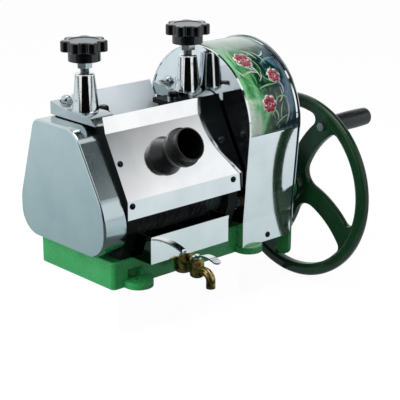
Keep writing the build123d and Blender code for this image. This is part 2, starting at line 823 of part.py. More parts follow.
save(pinion - rod(wheel_bore, pinion_x0 - through, pinion_x1 + through, wheel_y, wheel_z), "pinion")

# Turner bar that guides the mat from the front roller to the rear one
turner_z = top_z - turner_drop
turner_r = roller_r + turner_gap
turner_top = top_z - turner_r
turner_points = [(-turner_half_low, turner_z), (-turner_half_top, turner_top)]
turner_points += [(-turner_half_top, top_z), (turner_half_top, top_z)]
turner_points += [(turner_half_top, turner_top), (turner_half_low, turner_z)]
turner = prism(face_of(turner_points), roller_x0, roller_x1)
turner -= rod(turner_r, roller_x0 - through, roller_x1 + through, 0, top_z)
turner += rod(turner_pin_d / 2, left_out, right_out, 0, top_z - turner_pin_drop)
save(turner, "turner_bar")

# Left end cover over the roller gears
end_top = frame_top - 2 * side_gap
end_low = base_height + pan_rim - pan_clearance
end_half = frame_half_y - side_gap
end_points = [(-end_half + end_cover_front_in, end_top), (-end_half, lower_z + end_cover_front_rise)]
end_points += [(-end_half, end_low), (end_half, end_low)]
end_points += [(end_half, lower_z + end_cover_rear_rise), (end_half - end_cover_rear_in, end_top)]
end_radii = [end_cover_crown_r, end_cover_shoulder_r, end_cover_foot_r]
end_radii += [end_cover_foot_r, end_cover_rear_shoulder_r, end_cover_rear_crown_r]
end_outline = rounded(end_points, end_radii)
end_x0 = left_out - end_cover_depth
end_cover = prism(end_outline, end_x0, left_out)
end_cover = fillet(end_cover.faces().sort_by(Axis.X)[0].edges(), end_cover_edge_r)
hollow = prism(offset(end_outline, -sheet), end_x0 + sheet, left_out + through)
hollow = fillet(hollow.faces().sort_by(Axis.X)[0].edges(), end_cover_edge_r - sheet)
save(end_cover - hollow, "left_end_cover")

# Front panel with its feed tube, which widens to a collar below its mouth
panel = folded_sheet(front_path, panel_x0, panel_x1)
for hole in panel_holes:
    panel -= hole
tube_plane = front_slope(roller_mid_x + tube_offset, tube_up)
root_r = tube_root_d / 2
collar_r = tube_collar_d / 2
mouth_r = tube_mouth_d / 2
panel -= extrude(tube_plane.offset(-through - sheet) * Circle(root_r + fit), 2 * through + sheet)
save(panel, "front_panel")
collar_top = tube_flare + tube_collar_height
neck = collar_top + tube_shoulder
tube_end = neck + tube_mouth_height
tube_points = [(root_r, -tube_in), (root_r, 0), (collar_r, tube_flare), (collar_r, collar_top)]
tube_points += [(mouth_r, neck), (mouth_r, tube_end)]
tube_points += [(mouth_r - tube_wall, tube_end), (mouth_r - tube_wall, collar_top)]
tube_points += [(root_r - tube_wall, 0), (root_r - tube_wall, -tube_in)]
tube = revolve(Plane.XZ * face_of(tube_points), Axis.Z)
circles = tube.edges().filter_by(GeomType.CIRCLE)
collar_edges = circles.filter_by(lambda edge: abs(edge.radius - collar_r) < fit)
tube = fillet(collar_edges, tube_round)
mouth_edge = tube.edges().filter_by(GeomType.CIRCLE).filter_by(lambda edge: abs(edge.radius - mouth_r) < fit)
tube = fillet(mouth_edge.sort_by(Axis.Z)[-1], tube_round / 2)
tube_flange = post(tube_flange_d / 2, 0, 0, -sheet - tube_flange_h, -sheet)
tube += tube_flange - post(root_r - tube_wall, 0, 0, -sheet - tube_flange_h - through, through)
save(tube_plane.location * tube, "feed_tube")

# Rear cover, its hood between the cap bars, and the chute for the crushed cane
hood_x0 = left_x + bar_width / 2 + hood_end_gap
hood_x1 = right_x - bar_width / 2 - hood_end_gap
rear = folded_sheet(rear_path, panel_x0, panel_x1) + folded_sheet(hood_path, hood_x0, hood_x1)
for hole in panel_holes:
    rear -= hole
outlet_width = roller_x1 - roller_x0 - 2 * outlet_inset
outlet_plane = rear_slope(roller_mid_x, outlet_up)
outlet_back = outlet_plane.offset(-through - sheet)
rear -= extrude(outlet_back * Rectangle(outlet_width, outlet_height), 2 * through + sheet)
save(rear, "rear_cover")


def on_rear(up):
    origin = rear_slope(roller_mid_x, up).origin
    return (origin.Y, origin.Z)


floor_start = on_rear(outlet_up - outlet_height / 2 - sheet)
wall_top = on_rear(outlet_up + outlet_height / 2 + sheet)
fall = math.radians(chute_fall)
floor_end = (floor_start[0] + chute_length * math.cos(fall), floor_start[1] - chute_length * math.sin(fall))
lip = (floor_end[0], floor_end[1] + chute_lip)
wall = face_of([floor_start, floor_end, lip, wall_top])
chute_half = outlet_width / 2 + sheet
chute = prism(wall, roller_mid_x - chute_half, roller_mid_x + chute_half)
floor_lift = sheet / math.cos(fall)
clear_start = (floor_start[0] - chute_length, floor_start[1] + chute_length * math.tan(fall) + floor_lift)
clear_end = (floor_end[0] + through, floor_end[1] - through * math.tan(fall) + floor_lift)
clear_z = wall_top[1] + chute_length
room = face_of([clear_start, clear_end, (clear_end[0], clear_z), (clear_start[0], clear_z)])
chute -= prism(room, roller_mid_x - outlet_width / 2, roller_mid_x + outlet_width / 2)
flange_size = outlet_height + 2 * sheet
for sx in (-1, 1):
    flange_x = roller_mid_x + sx * (chute_half + chute_flange / 2 - sheet)
    flange = rear_slope(flange_x, outlet_up) * Rectangle(chute_flange, flange_size)
    chute += extrude(flange, sheet)
save(chute, "bagasse_chute")


# Horseshoe gear cover, its gasket and its back plate
def horseshoe(grow, foot_z):
    radius = cover_r + grow
    half = leg_half_y + grow
    centre = Vector(0, cover_arc_z, 0)
    to_leg = math.atan2(leg_bend_z - cover_arc_z, half)
    spread = math.acos(radius / math.hypot(half, leg_bend_z - cover_arc_z))
    angle = to_leg + spread
    right = centre + Vector(*polar(radius, angle))
    left = centre + Vector(*polar(radius, math.pi - angle))
    edges = [Edge.make_three_point_arc(right, centre + Vector(0, radius, 0), left)]
    corners = [left, Vector(-half, leg_bend_z, 0), Vector(-half, foot_z, 0), Vector(half, foot_z, 0)]
    corners += [Vector(half, leg_bend_z, 0), right]
    for a, b in zip(corners, corners[1:]):
        edges.append(Edge.make_line(a, b))
    return Face(Wire(edges))


plate_x0 = cover_x0 + cover_plate_inset
cut_x0 = plate_x0 - through
cut_x1 = plate_x0 + sheet + through
band = prism(horseshoe(0, cover_foot_z), cover_x0, cover_x1)
band -= prism(horseshoe(-sheet, cover_foot_z - through), cover_x0 - through, cover_x1 + through)
plate = prism(horseshoe(-sheet, cover_foot_z), plate_x0, plate_x0 + sheet)
notch_y = base_depth / 2 + cover_base_gap
plate -= block(cut_x0, cut_x1, -notch_y, notch_y, 0, base_height + cover_base_gap)
shaft_room = top_r + bush_wall / 2
for z in (top_z, top_z + lift_travel):
    plate -= rod(shaft_room, cut_x0, cut_x1, 0, z)
plate -= block(cut_x0, cut_x1, -shaft_room, shaft_room, top_z, top_z + lift_travel)
plate -= rod(wheel_bore + side_gap, cut_x0, cut_x1, wheel_y, wheel_z)
gear_cover = band + plate
for plane in cover_screw_planes:
    gear_cover -= screw_hole(plane, sheet + through)
save(gear_cover, "gear_cover")
back_low = arm_top_z + 2 * side_gap
gasket = prism(horseshoe(0, back_low), cover_x1, gasket_x1)
gasket -= prism(horseshoe(-gasket_width, back_low - through), cover_x1 - through, gasket_x1 + through)
save(gasket, "gear_cover_gasket")
back_plate = prism(horseshoe(back_plate_lip, back_low), gasket_x1, back_x1)
back_plate -= rod(wheel_bore + side_gap, gasket_x1 - through, back_x1 + through, wheel_y, wheel_z)
save(back_plate, "gear_cover_back_plate")

# Outboard wheel bracket, bolted to the front arm
boss_ring = (Pos(wheel_y, wheel_z) * Circle(bracket_boss_r)).edges()
low_ring = (Pos(bracket_low_y, bracket_low_z) * Circle(bracket_low_r)).edges()
boss_x1 = bracket_x1 + bracket_boss
bracket = prism(make_hull(boss_ring + low_ring), bracket_x0, bracket_x1)
bracket += rod(bracket_boss_r, bracket_x0, boss_x1, wheel_y, wheel_z)
bracket -= rod(wheel_bush_r + fit, bracket_x0 - through, boss_x1 + through, wheel_y, wheel_z)
for side in (-1, 1):
    z = arm_low_z + arm_height / 2 + side * bracket_bolt_pitch / 2
    y = -arm_inner_y - arm_width / 2
    bracket -= rod(bracket_bolt_d / 2 + fit, bracket_x0 - through, bracket_x1 + through, y, z)
save(bracket, "wheel_bracket")


def from_axis(corner):
    return math.hypot(corner.X, corner.Y)


# Wheel shaft, hand wheel with four bowed spokes, and its turning grip
shaft_end = hub_x1 + wheel_nut_height + wheel_shaft_end
save(rod(wheel_shaft_d / 2, right_in + side_gap, shaft_end, wheel_y, wheel_z), "wheel_shaft")
nut = hex_rod(wheel_nut_flats, hub_x1, hub_x1 + wheel_nut_height, wheel_y, wheel_z)
save(nut - rod(wheel_bore, hub_x1 - through, shaft_end, wheel_y, wheel_z), "wheel_nut")
rim_spot = Pos((rim_x0 + rim_x1) / 2, wheel_r - rim_width / 2)
rim_section = rim_spot * RectangleRounded(rim_thickness, rim_width, rim_round)
rim = revolve(Plane.XZ * rim_section, Axis.X)
rim_inner_r = wheel_r - rim_width
bow_r = (spoke_reach ** 2 / 4 + spoke_bow ** 2) / (2 * spoke_bow)
bend = Pos(spoke_reach / 2, bow_r - spoke_bow)
ring = bend * (Circle(bow_r + spoke_width / 2) - Circle(bow_r - spoke_width / 2))
mask = Pos(wheel_r / 2, 0) * Rectangle(wheel_r, 2 * (spoke_width + spoke_bow))
spoke = ring & mask
openings = Circle(rim_inner_r)
for k in range(spoke_count):
    openings -= Rot(0, 0, 180 - spoke_angle + 360 * k / spoke_count) * spoke
web = Circle(rim_inner_r + rim_round)
for opening in openings.faces():
    corners = sorted(opening.vertices(), key=from_axis)
    opening = opening.fillet_2d(opening_rim_round, corners[1:])
    hub_corner = min(opening.vertices(), key=from_axis)
    web -= opening.fillet_2d(opening_hub_round, [hub_corner])
handle_turn = math.radians(180 - handle_angle)
handle_radius = wheel_r - handle_inset
handle_dy = handle_radius * math.cos(handle_turn)
handle_dz = handle_radius * math.sin(handle_turn)
wheel = rim + prism(web, web_x0, web_x1) + rod(hub_r, hub_x0, hub_x1, 0, 0)
wheel += rod(handle_boss_r, web_x0, rim_x1, handle_dy, handle_dz)
wheel -= rod(wheel_bore, hub_x0 - through, hub_x1 + through, 0, 0)
wheel -= rod(spindle_d / 2 + fit, web_x0 - through, rim_x1 + through, handle_dy, handle_dz)
save(Pos(0, wheel_y, wheel_z) * wheel, "hand_wheel")
handle_y = wheel_y + handle_dy
handle_z = wheel_z + handle_dz
grip_x0 = rim_x1 + grip_gap
grip_x1 = grip_x0 + grip_length
head_x0 = grip_x1 + grip_gap
spindle = rod(spindle_d / 2, web_x0 - spindle_nut_h, head_x0, handle_y, handle_z)
spindle += hex_rod(spindle_nut_flats, web_x0 - spindle_nut_h, web_x0, handle_y, handle_z)
spindle += rod(spindle_head_r, head_x0, head_x0 + spindle_head_h, handle_y, handle_z)
save(spindle, "handle_spindle")
grip_r = grip_d / 2
grip_mid = (grip_x0 + grip_x1) / 2
grip_near = (grip_x0, grip_r - grip_waist, 0)
grip_far = (grip_x1, grip_r - grip_waist / 2, 0)
grip_edges = [Edge.make_line((grip_x0, 0, 0), grip_near)]
grip_edges.append(Edge.make_three_point_arc(grip_near, (grip_mid, grip_r, 0), grip_far))
grip_edges.append(Edge.make_line(grip_far, (grip_x1, 0, 0)))
grip_edges.append(Edge.make_line((grip_x1, 0, 0), (grip_x0, 0, 0)))
grip = Pos(0, handle_y, handle_z) * revolve(Plane.XZ * Face(Wire(grip_edges)), Axis.X)
grip = fillet(grip.edges().sort_by(Axis.X)[-1], grip_end_round)
grip -= rod(spindle_d / 2 + 2 * fit, grip_x0 - through, grip_x1 + through, handle_y, handle_z)
save(grip, "handle_grip")

# Juice tray: a shallow pan under the rollers and a deeper box in front
tray_x0 = left_in + tray_side_gap
pan_x1 = right_in - tray_side_gap + side_gap / 2
tray_box_right = pan_x1 - tray_box_short
tap_x = tray_x0 + tap_in
box_top = base_height + tray_box_height
tray = block(tray_x0, tray_box_right, -tray_front_y, -tray_box_y, base_height, box_top)
tray += block(tray_x0, pan_x1, -tray_box_y, tray_rear_y, base_height, base_height + pan_rim)
floor_z = base_height + sheet
inner_x0 = tray_x0 + sheet
box_back = -tray_box_y + sheet
tray -= block(inner_x0, tray_box_right - sheet, -tray_front_y + sheet, box_back, floor_z, box_top + through)
tray -= block(inner_x0, pan_x1 - sheet, box_back, tray_rear_y - sheet, floor_z, box_top)
hem_front = -tray_front_y - hem_proud
tray += block(tray_x0, tray_box_right, hem_front, -tray_front_y, box_top - hem_height, box_top)
tray -= post(tap_tail_r + fit, tap_x, tap_y, base_height - through, floor_z + through)
save(tray, "juice_tray")

# Brass tap that hangs under the tray's front box, with its lever
tap_z = base_height - tap_axis_drop
bulb = post(tap_bulb_r, tap_x, tap_y, base_height - tap_bulb_low, base_height - tap_flange_h)
bulb = fillet(bulb.edges().sort_by(Axis.Z)[0], tap_bulb_round)
tap = bulb + hex_post(tap_flange_flats, tap_x, tap_y, base_height - tap_flange_h, base_height)
tap += post(tap_tail_r, tap_x, tap_y, base_height, floor_z + tap_tail_up)
barrel = extrude(Plane.XZ.offset(-tap_y) * (Pos(tap_x, tap_z) * Circle(tap_barrel_r)), tap_y - valve_y)
valve = post(valve_r, tap_x, valve_y, tap_z - valve_below, tap_z + valve_above)
valve = fillet(valve.edges().sort_by(Axis.Z)[0], valve_foot_round)
gland_top = tap_z + valve_above + gland_height
valve += hex_post(gland_flats, tap_x, valve_y, tap_z + valve_above, gland_top)
bend_start = Vector(tap_x, spout_y + spout_bend, tap_z)
bend_end = Vector(tap_x, spout_y, tap_z - spout_bend)
spout_path = Wire([
    Edge.make_line((tap_x, valve_y, tap_z), bend_start),
    Edge.make_tangent_arc(bend_start, Vector(0, -1, 0), bend_end),
    Edge.make_line(bend_end, (tap_x, spout_y, tap_z - spout_drop)),
])
spout_start = Plane(origin=(tap_x, valve_y, tap_z), x_dir=(1, 0, 0), z_dir=(0, -1, 0))
spout = sweep(spout_start * Circle(spout_r), path=spout_path)
tap += barrel + valve + spout
tap -= post(spout_bore_r, tap_x, spout_y, tap_z - spout_drop - through, tap_z - spout_bend)
tap -= post(stem_r + fit, tap_x, valve_y, gland_top - stem_in - fit, gland_top + through)
tap -= post(tap_tail_r - tap_tail_wall, tap_x, tap_y, tap_z, floor_z + tap_tail_up + through)
save(tap, "tap_body")
nut_top = floor_z + tap_nut_height
lock_nut = hex_post(tap_nut_flats, tap_x, tap_y, floor_z, nut_top)
lock_nut -= post(tap_tail_r + fit, tap_x, tap_y, floor_z - through, nut_top + through)
save(lock_nut, "tap_nut")
lever_z = gland_top + play
lever_top = [(0, lever_hub_h, 0), (lever_knee, lever_hub_h + lever_knee_rise, 0)]
lever_top += [(lever_length, lever_hub_h + lever_rise, 0)]
lever_low = [(p[0], p[1] - lever_thickness, 0) for p in lever_top]
lever_edges = [Edge.make_three_point_arc(*lever_top), Edge.make_three_point_arc(*lever_low)]
lever_edges.append(Edge.make_line(lever_top[0], lever_low[0]))
lever_edges.append(Edge.make_line(lever_top[2], lever_low[2]))
lever = extrude(Plane.XZ * Face(Wire(lever_edges)), lever_width / 2, both=True)
lever = fillet(lever.edges().filter_by(Axis.Z).sort_by(Axis.X)[-2:], lever_end_r)
lever += post(lever_hub_r, 0, 0, 0, lever_hub_h)
lever += post(stem_r, 0, 0, -play - stem_in, lever_hub_h + lever_thickness)
save(Pos(tap_x, valve_y, lever_z) * Rot(0, 0, -90 - lever_turn) * lever, "tap_handle")
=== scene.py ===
import math
import random

import bmesh
import bpy
from mathutils import Matrix, Vector


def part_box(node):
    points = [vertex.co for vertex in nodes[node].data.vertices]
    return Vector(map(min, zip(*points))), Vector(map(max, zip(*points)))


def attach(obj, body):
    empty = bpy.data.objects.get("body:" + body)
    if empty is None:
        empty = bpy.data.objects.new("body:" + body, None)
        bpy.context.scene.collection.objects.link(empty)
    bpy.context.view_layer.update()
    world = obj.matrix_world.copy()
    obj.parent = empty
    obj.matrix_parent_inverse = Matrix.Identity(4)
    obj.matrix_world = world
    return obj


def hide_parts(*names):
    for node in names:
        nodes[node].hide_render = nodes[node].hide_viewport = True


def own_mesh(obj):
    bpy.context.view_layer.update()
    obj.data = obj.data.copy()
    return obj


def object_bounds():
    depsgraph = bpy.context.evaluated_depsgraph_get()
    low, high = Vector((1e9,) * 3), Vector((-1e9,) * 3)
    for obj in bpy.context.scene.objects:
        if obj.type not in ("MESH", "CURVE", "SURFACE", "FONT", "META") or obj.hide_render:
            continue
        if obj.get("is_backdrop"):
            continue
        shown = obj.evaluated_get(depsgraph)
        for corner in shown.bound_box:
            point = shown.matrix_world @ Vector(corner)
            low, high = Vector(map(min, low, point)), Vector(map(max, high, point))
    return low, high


# The hand-cranked sugarcane juicer, dressed for looks. Metres, in the part's own frame.
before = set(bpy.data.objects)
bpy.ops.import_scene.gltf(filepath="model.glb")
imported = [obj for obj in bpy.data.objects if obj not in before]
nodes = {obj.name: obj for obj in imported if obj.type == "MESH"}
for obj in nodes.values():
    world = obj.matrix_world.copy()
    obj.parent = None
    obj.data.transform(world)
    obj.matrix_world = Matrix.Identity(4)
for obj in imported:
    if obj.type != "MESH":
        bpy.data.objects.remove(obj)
cad_low, cad_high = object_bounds()
MM = 0.001
SIDES = ("left", "right")
SHARP_DEGREES = 40
stage_scene = bpy.context.scene


# Small tools
def linear(code):
    """An sRGB hex code as linear red, green, blue and a full alpha."""
    channels = [int(code[i:i + 2], 16) / 255 for i in (1, 3, 5)]
    return [c / 12.92 if c <= 0.04045 else ((c + 0.055) / 1.055) ** 2.4 for c in channels] + [1.0]


def per_mm(size):
    """The texture scale at which one feature is that many millimetres wide."""
    return 1.0 / (size * MM)


def add(tree, kind, inputs, out=None, **settings):
    """One shader node; its inputs are plain values or the outputs that feed them."""
    made = tree.nodes.new("ShaderNode" + kind)
    for name, value in settings.items():
        setattr(made, name, value)
    for name, value in inputs.items():
        found = [s for s in made.inputs if s.enabled and s.name == name]
        socket = found[0] if found else made.inputs[name]
        if isinstance(value, bpy.types.NodeSocket):
            tree.links.new(value, socket)
        else:
            socket.default_value = value
    if out:
        return made.outputs[out]
    shown = [s for s in made.outputs if s.enabled]
    return shown[0] if shown else made


def material(name):
    """An empty material, its node tree and the rest coordinates, which stay with a moving piece."""
    made = bpy.data.materials.new(name)
    made.use_nodes = True
    made.node_tree.nodes.clear()
    return made, made.node_tree, add(made.node_tree, "TexCoord", {}, "Object")


def link(made):
    """Puts a new object in the scene."""
    stage_scene.collection.objects.link(made)
    return made


def centre(node):
    """The middle of a node's box at rest."""
    low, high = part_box(node)
    return (low + high) / 2


# Materials
# These stretch a pattern into lines along an axis, or into rings round one
LINES_ALONG_X = (0.02, 1.0, 1.0)
LINES_ALONG_Y = (1.0, 0.03, 1.0)
LINES_ALONG_Z = (1.0, 1.0, 0.03)
LINES_ALONG_TUBE = (1.0, 0.12, 0.2)
MARKS_ALONG_GRIP = (0.25, 1.0, 1.0)
RINGS_ROUND_X = (1.0, 0.03, 0.03)
RINGS_ROUND_Z = (0.03, 0.03, 1.0)
# The X of its normal below which a face looks to the left
LOOKS_LEFT = -0.7
# How far a rounded normal agrees with the real one where a face is flat
FLAT_AT = 0.98


def edge_wear_and_highlight(tree, radius, edge_at, most):
    """How much edge tone a surface takes, as wear and, on the dark wheel enamel, as a painted highlight: 0
    on flats, and most where it turns within a radius in millimetres.
    """
    rounded = add(tree, "Bevel", {"Radius": radius * MM}, samples=4)
    normal = add(tree, "NewGeometry", {}, "Normal")
    turn = add(tree, "VectorMath", {0: rounded, 1: normal}, "Value", operation="DOT_PRODUCT")
    return add(tree, "MapRange", {"Value": turn, "From Min": edge_at, "From Max": FLAT_AT,
                                  "To Min": most, "To Max": 0.0})


def stainless_sheet(name, dark, light, mirror, wiped_rough, lines_along, bow=0.0, blackened=None):
    """Stainless sheet, rolled and polished: a mirror with buffing lines, wiped patches and slight waves;
    given a dark colour, the faces that look to the left take it as a painted dark reflection.
    """
    made, tree, rest = material(name)
    wiped = add(tree, "TexNoise", {"Vector": rest, "Scale": per_mm(70), "Detail": 3.0})
    drawn = add(tree, "VectorMath", {0: rest, 1: lines_along}, operation="MULTIPLY")
    # buffing lines are far finer; at 2.5 mm they just show
    lines = add(tree, "TexNoise", {"Vector": drawn, "Scale": per_mm(2.5), "Detail": 2.0})
    worn = add(tree, "Math", {0: wiped, 1: lines}, operation="MULTIPLY")
    rough = add(tree, "MapRange", {"Value": worn, "From Min": 0.15, "From Max": 0.4,
                                   "To Min": mirror, "To Max": wiped_rough})
    tone = add(tree, "MapRange", {"Value": wiped, "From Min": 0.35, "From Max": 0.65})
    colour = add(tree, "Mix", {"Factor": tone, "A": linear(dark), "B": linear(light)}, data_type="RGBA")
    if blackened:
        # painted dark reflection: the faces that look to the left are darkened, in place of the dark that
        # this polished side would mirror
        true_normal = add(tree, "NewGeometry", {}, "True Normal")
        facing = add(tree, "SeparateXYZ", {"Vector": true_normal}, "X")
        dark_reflection_mask = add(tree, "Math", {0: facing, 1: LOOKS_LEFT}, operation="LESS_THAN")
        colour = add(tree, "Mix", {"Factor": dark_reflection_mask, "A": colour, "B": linear(blackened)}, data_type="RGBA")
    waves = add(tree, "TexNoise", {"Vector": rest, "Scale": per_mm(120), "Detail": 1.0})
    bent = add(tree, "Bump", {"Height": waves, "Strength": 0.2, "Distance": 0.6 * MM})
    if bow:
        # a sheet that is not quite flat: it leans evenly along X, which moves what it mirrors
        along = add(tree, "SeparateXYZ", {"Vector": rest}, "X")
        bent = add(tree, "Bump", {"Height": along, "Strength": 1.0, "Distance": bow, "Normal": bent})
    shader = add(tree, "BsdfPrincipled", {"Base Color": colour, "Metallic": 1.0, "Roughness": rough,
                                          "Normal": bent})
    add(tree, "OutputMaterial", {"Surface": shader})
    return made


def bright_chrome():
    """Chromium plate over turned steel: a clean cool mirror with a few dull specks."""
    made, tree, rest = material("bright_chrome")
    specks = add(tree, "TexNoise", {"Vector": rest, "Scale": per_mm(8), "Detail": 4.0})
    tone = add(tree, "MapRange", {"Value": specks, "From Min": 0.3, "From Max": 0.42})
    colour = add(tree, "Mix", {"Factor": tone, "A": linear("#C4CACC"), "B": linear("#E3E7E8")},
                 data_type="RGBA")
    rough = add(tree, "MapRange", {"Value": specks, "From Min": 0.3, "From Max": 0.5,
                                   "To Min": 0.12, "To Max": 0.05})
    shader = add(tree, "BsdfPrincipled", {"Base Color": colour, "Metallic": 1.0, "Roughness": rough})
    add(tree, "OutputMaterial", {"Surface": shader})
    return made


def cast_enamel(name, dark, light, edge, gloss, shine):
    """Gloss enamel on an iron casting: orange peel, drifting colour, another tone along the edges, which on
    the dark wheel enamel is a lighter painted highlight.
    """
    made, tree, rest = material(name)
    drift = add(tree, "TexNoise", {"Vector": rest, "Scale": per_mm(45), "Detail": 4.0})
    tone = add(tree, "MapRange", {"Value": drift, "From Min": 0.3, "From Max": 0.7})
    body = add(tree, "Mix", {"Factor": tone, "A": linear(dark), "B": linear(light)}, data_type="RGBA")
    # edge tone: a lighter painted highlight on the dark wheel, a darker tone along the other castings' edges
    thin = edge_wear_and_highlight(tree, radius=1.5, edge_at=0.75, most=0.7)
    colour = add(tree, "Mix", {"Factor": thin, "A": body, "B": linear(edge)}, data_type="RGBA")
    peel = add(tree, "TexNoise", {"Vector": rest, "Scale": per_mm(5), "Detail": 3.0})
    rough = add(tree, "MapRange", {"Value": peel, "From Min": 0.3, "From Max": 0.7,
                                   "To Min": gloss, "To Max": gloss + 0.08})
    peeled = add(tree, "Bump", {"Height": peel, "Strength": 0.12, "Distance": 0.3 * MM})
    shader = add(tree, "BsdfPrincipled", {"Base Color": colour, "Roughness": rough, "Normal": peeled,
                                          "IOR": 1.5, "Specular IOR Level": shine})
    add(tree, "OutputMaterial", {"Surface": shader})
    return made


def black_phenolic():
    """Compression-moulded phenolic: deep black gloss with faint flow marks and rubbed edges."""
    made, tree, rest = material("black_phenolic")
    flow = add(tree, "TexNoise", {"Vector": rest, "Scale": per_mm(14), "Detail": 4.0})
    body = add(tree, "Mix", {"Factor": flow, "A": linear("#040505"), "B": linear("#0D0F10")},
               data_type="RGBA")
    rubbed = edge_wear_and_highlight(tree, radius=1.0, edge_at=0.8, most=0.5)
    colour = add(tree, "Mix", {"Factor": rubbed, "A": body, "B": linear("#2A2D2F")}, data_type="RGBA")
    rough = add(tree, "MapRange", {"Value": flow, "From Min": 0.3, "From Max": 0.7,
                                   "To Min": 0.06, "To Max": 0.13})
    shader = add(tree, "BsdfPrincipled", {"Base Color": colour, "Roughness": rough, "IOR": 1.6})
    add(tree, "OutputMaterial", {"Surface": shader})
    return made


def extruded_pvc():
    """Black PVC tube: satin, with draw lines along its length and brownish scuffs."""
    made, tree, rest = material("extruded_pvc")
    scuff = add(tree, "TexNoise", {"Vector": rest, "Scale": per_mm(7), "Detail": 5.0})
    tone = add(tree, "MapRange", {"Value": scuff, "From Min": 0.35, "From Max": 0.7})
    colour = add(tree, "Mix", {"Factor": tone, "A": linear("#050606"), "B": linear("#121110")},
                 data_type="RGBA")
    rough = add(tree, "MapRange", {"Value": scuff, "From Min": 0.3, "From Max": 0.7,
                                   "To Min": 0.28, "To Max": 0.45})
    drawn = add(tree, "VectorMath", {0: rest, 1: LINES_ALONG_TUBE}, operation="MULTIPLY")
    lines = add(tree, "TexNoise", {"Vector": drawn, "Scale": per_mm(2), "Detail": 2.0})
    ribbed = add(tree, "Bump", {"Height": lines, "Strength": 0.12, "Distance": 0.1 * MM})
    shader = add(tree, "BsdfPrincipled", {"Base Color": colour, "Roughness": rough, "Normal": ribbed,
                                          "IOR": 1.5})
    add(tree, "OutputMaterial", {"Surface": shader})
    return made


def moulded_grip():
    """Injection-moulded polypropylene: charcoal, smooth, with a soft sheen and handling marks."""
    made, tree, rest = material("moulded_grip")
    drawn = add(tree, "VectorMath", {0: rest, 1: MARKS_ALONG_GRIP}, operation="MULTIPLY")
    marks = add(tree, "TexNoise", {"Vector": drawn, "Scale": per_mm(8), "Detail": 4.0})
    tone = add(tree, "MapRange", {"Value": marks, "From Min": 0.3, "From Max": 0.7})
    colour = add(tree, "Mix", {"Factor": tone, "A": linear("#11161A"), "B": linear("#1B2227")},
                 data_type="RGBA")
    rough = add(tree, "MapRange", {"Value": marks, "From Min": 0.3, "From Max": 0.7,
                                   "To Min": 0.24, "To Max": 0.38})
    shader = add(tree, "BsdfPrincipled", {"Base Color": colour, "Roughness": rough, "IOR": 1.49})
    add(tree, "OutputMaterial", {"Surface": shader})
    return made


def spun_aluminium(node):
    """Spun aluminium: turning rings about the disc's middle, drawn 2 mm apart so that they show."""
    made, tree, rest = material("spun_aluminium_" + node)
    moved = add(tree, "VectorMath", {0: rest, 1: centre(node)}, operation="SUBTRACT")
    out_from = add(tree, "VectorMath", {0: moved}, "Value", operation="LENGTH")
    turned = add(tree, "Math", {0: out_from, 1: 2 * math.pi * per_mm(2)}, operation="MULTIPLY")
    rings = add(tree, "Math", {0: turned}, operation="SINE")
    tone = add(tree, "MapRange", {"Value": rings, "From Min": -1.0, "From Max": 1.0})
    colour = add(tree, "Mix", {"Factor": tone, "A": linear("#647278"), "B": linear("#7F8D93")},
                 data_type="RGBA")
    rough = add(tree, "MapRange", {"Value": rings, "From Min": -1.0, "From Max": 1.0,
                                   "To Min": 0.26, "To Max": 0.36})
    shader = add(tree, "BsdfPrincipled", {"Base Color": colour, "Metallic": 1.0, "Roughness": rough})
    add(tree, "OutputMaterial", {"Surface": shader})
    return made


def tap_brass():
    """Sand-cast brass, rumbled bright: olive yellow, with brown tarnish in soft patches."""
    made, tree, rest = material("tap_brass")
    tarnish = add(tree, "TexNoise", {"Vector": rest, "Scale": per_mm(8), "Detail": 5.0})
    tone = add(tree, "MapRange", {"Value": tarnish, "From Min": 0.35, "From Max": 0.62})
    colour = add(tree, "Mix", {"Factor": tone, "A": linear("#4A3C20"), "B": linear("#B8A468")},
                 data_type="RGBA")
    rough = add(tree, "MapRange", {"Value": tarnish, "From Min": 0.3, "From Max": 0.7,
                                   "To Min": 0.34, "To Max": 0.14})
    grit = add(tree, "TexNoise", {"Vector": rest, "Scale": per_mm(2.2), "Detail": 3.0})
    sandy = add(tree, "Bump", {"Height": grit, "Strength": 0.15, "Distance": 0.2 * MM})
    shader = add(tree, "BsdfPrincipled", {"Base Color": colour, "Metallic": 1.0, "Roughness": rough,
                                          "Normal": sandy})
    add(tree, "OutputMaterial", {"Surface": shader})
    return made


def turned_metal(name, dark, light, rings_round, smooth):
    """Metal turned on a lathe: tool lines round the axis, drawn 1.2 mm apart so that they show."""
    made, tree, rest = material(name)
    drawn = add(tree, "VectorMath", {0: rest, 1: rings_round}, operation="MULTIPLY")
    lines = add(tree, "TexNoise", {"Vector": drawn, "Scale": per_mm(1.2), "Detail": 2.0})
    tone = add(tree, "MapRange", {"Value": lines, "From Min": 0.3, "From Max": 0.7})
    colour = add(tree, "Mix", {"Factor": tone, "A": linear(dark), "B": linear(light)}, data_type="RGBA")
    rough = add(tree, "MapRange", {"Value": lines, "From Min": 0.3, "From Max": 0.7,
                                   "To Min": smooth, "To Max": smooth + 0.16})
    cut = add(tree, "Bump", {"Height": lines, "Strength": 0.15, "Distance": 0.08 * MM})
    shader = add(tree, "BsdfPrincipled", {"Base Color": colour, "Metallic": 1.0, "Roughness": rough,
                                          "Normal": cut})
    add(tree, "OutputMaterial", {"Surface": shader})
    return made


def oiled_iron():
    """Cut cast iron in oil: dark grey with graphite flecks and wet patches."""
    made, tree, rest = material("oiled_iron")
    oil = add(tree, "TexNoise", {"Vector": rest, "Scale": per_mm(18), "Detail": 4.0})
    fleck = add(tree, "TexNoise", {"Vector": rest, "Scale": per_mm(1.5), "Detail": 2.0})
    colour = add(tree, "Mix", {"Factor": fleck, "A": linear("#2B2C2D"), "B": linear("#646566")},
                 data_type="RGBA")
    rough = add(tree, "MapRange", {"Value": oil, "From Min": 0.3, "From Max": 0.7,
                                   "To Min": 0.2, "To Max": 0.5})
    shader = add(tree, "BsdfPrincipled", {"Base Color": colour, "Metallic": 1.0, "Roughness": rough})
    add(tree, "OutputMaterial", {"Surface": shader})
    return made


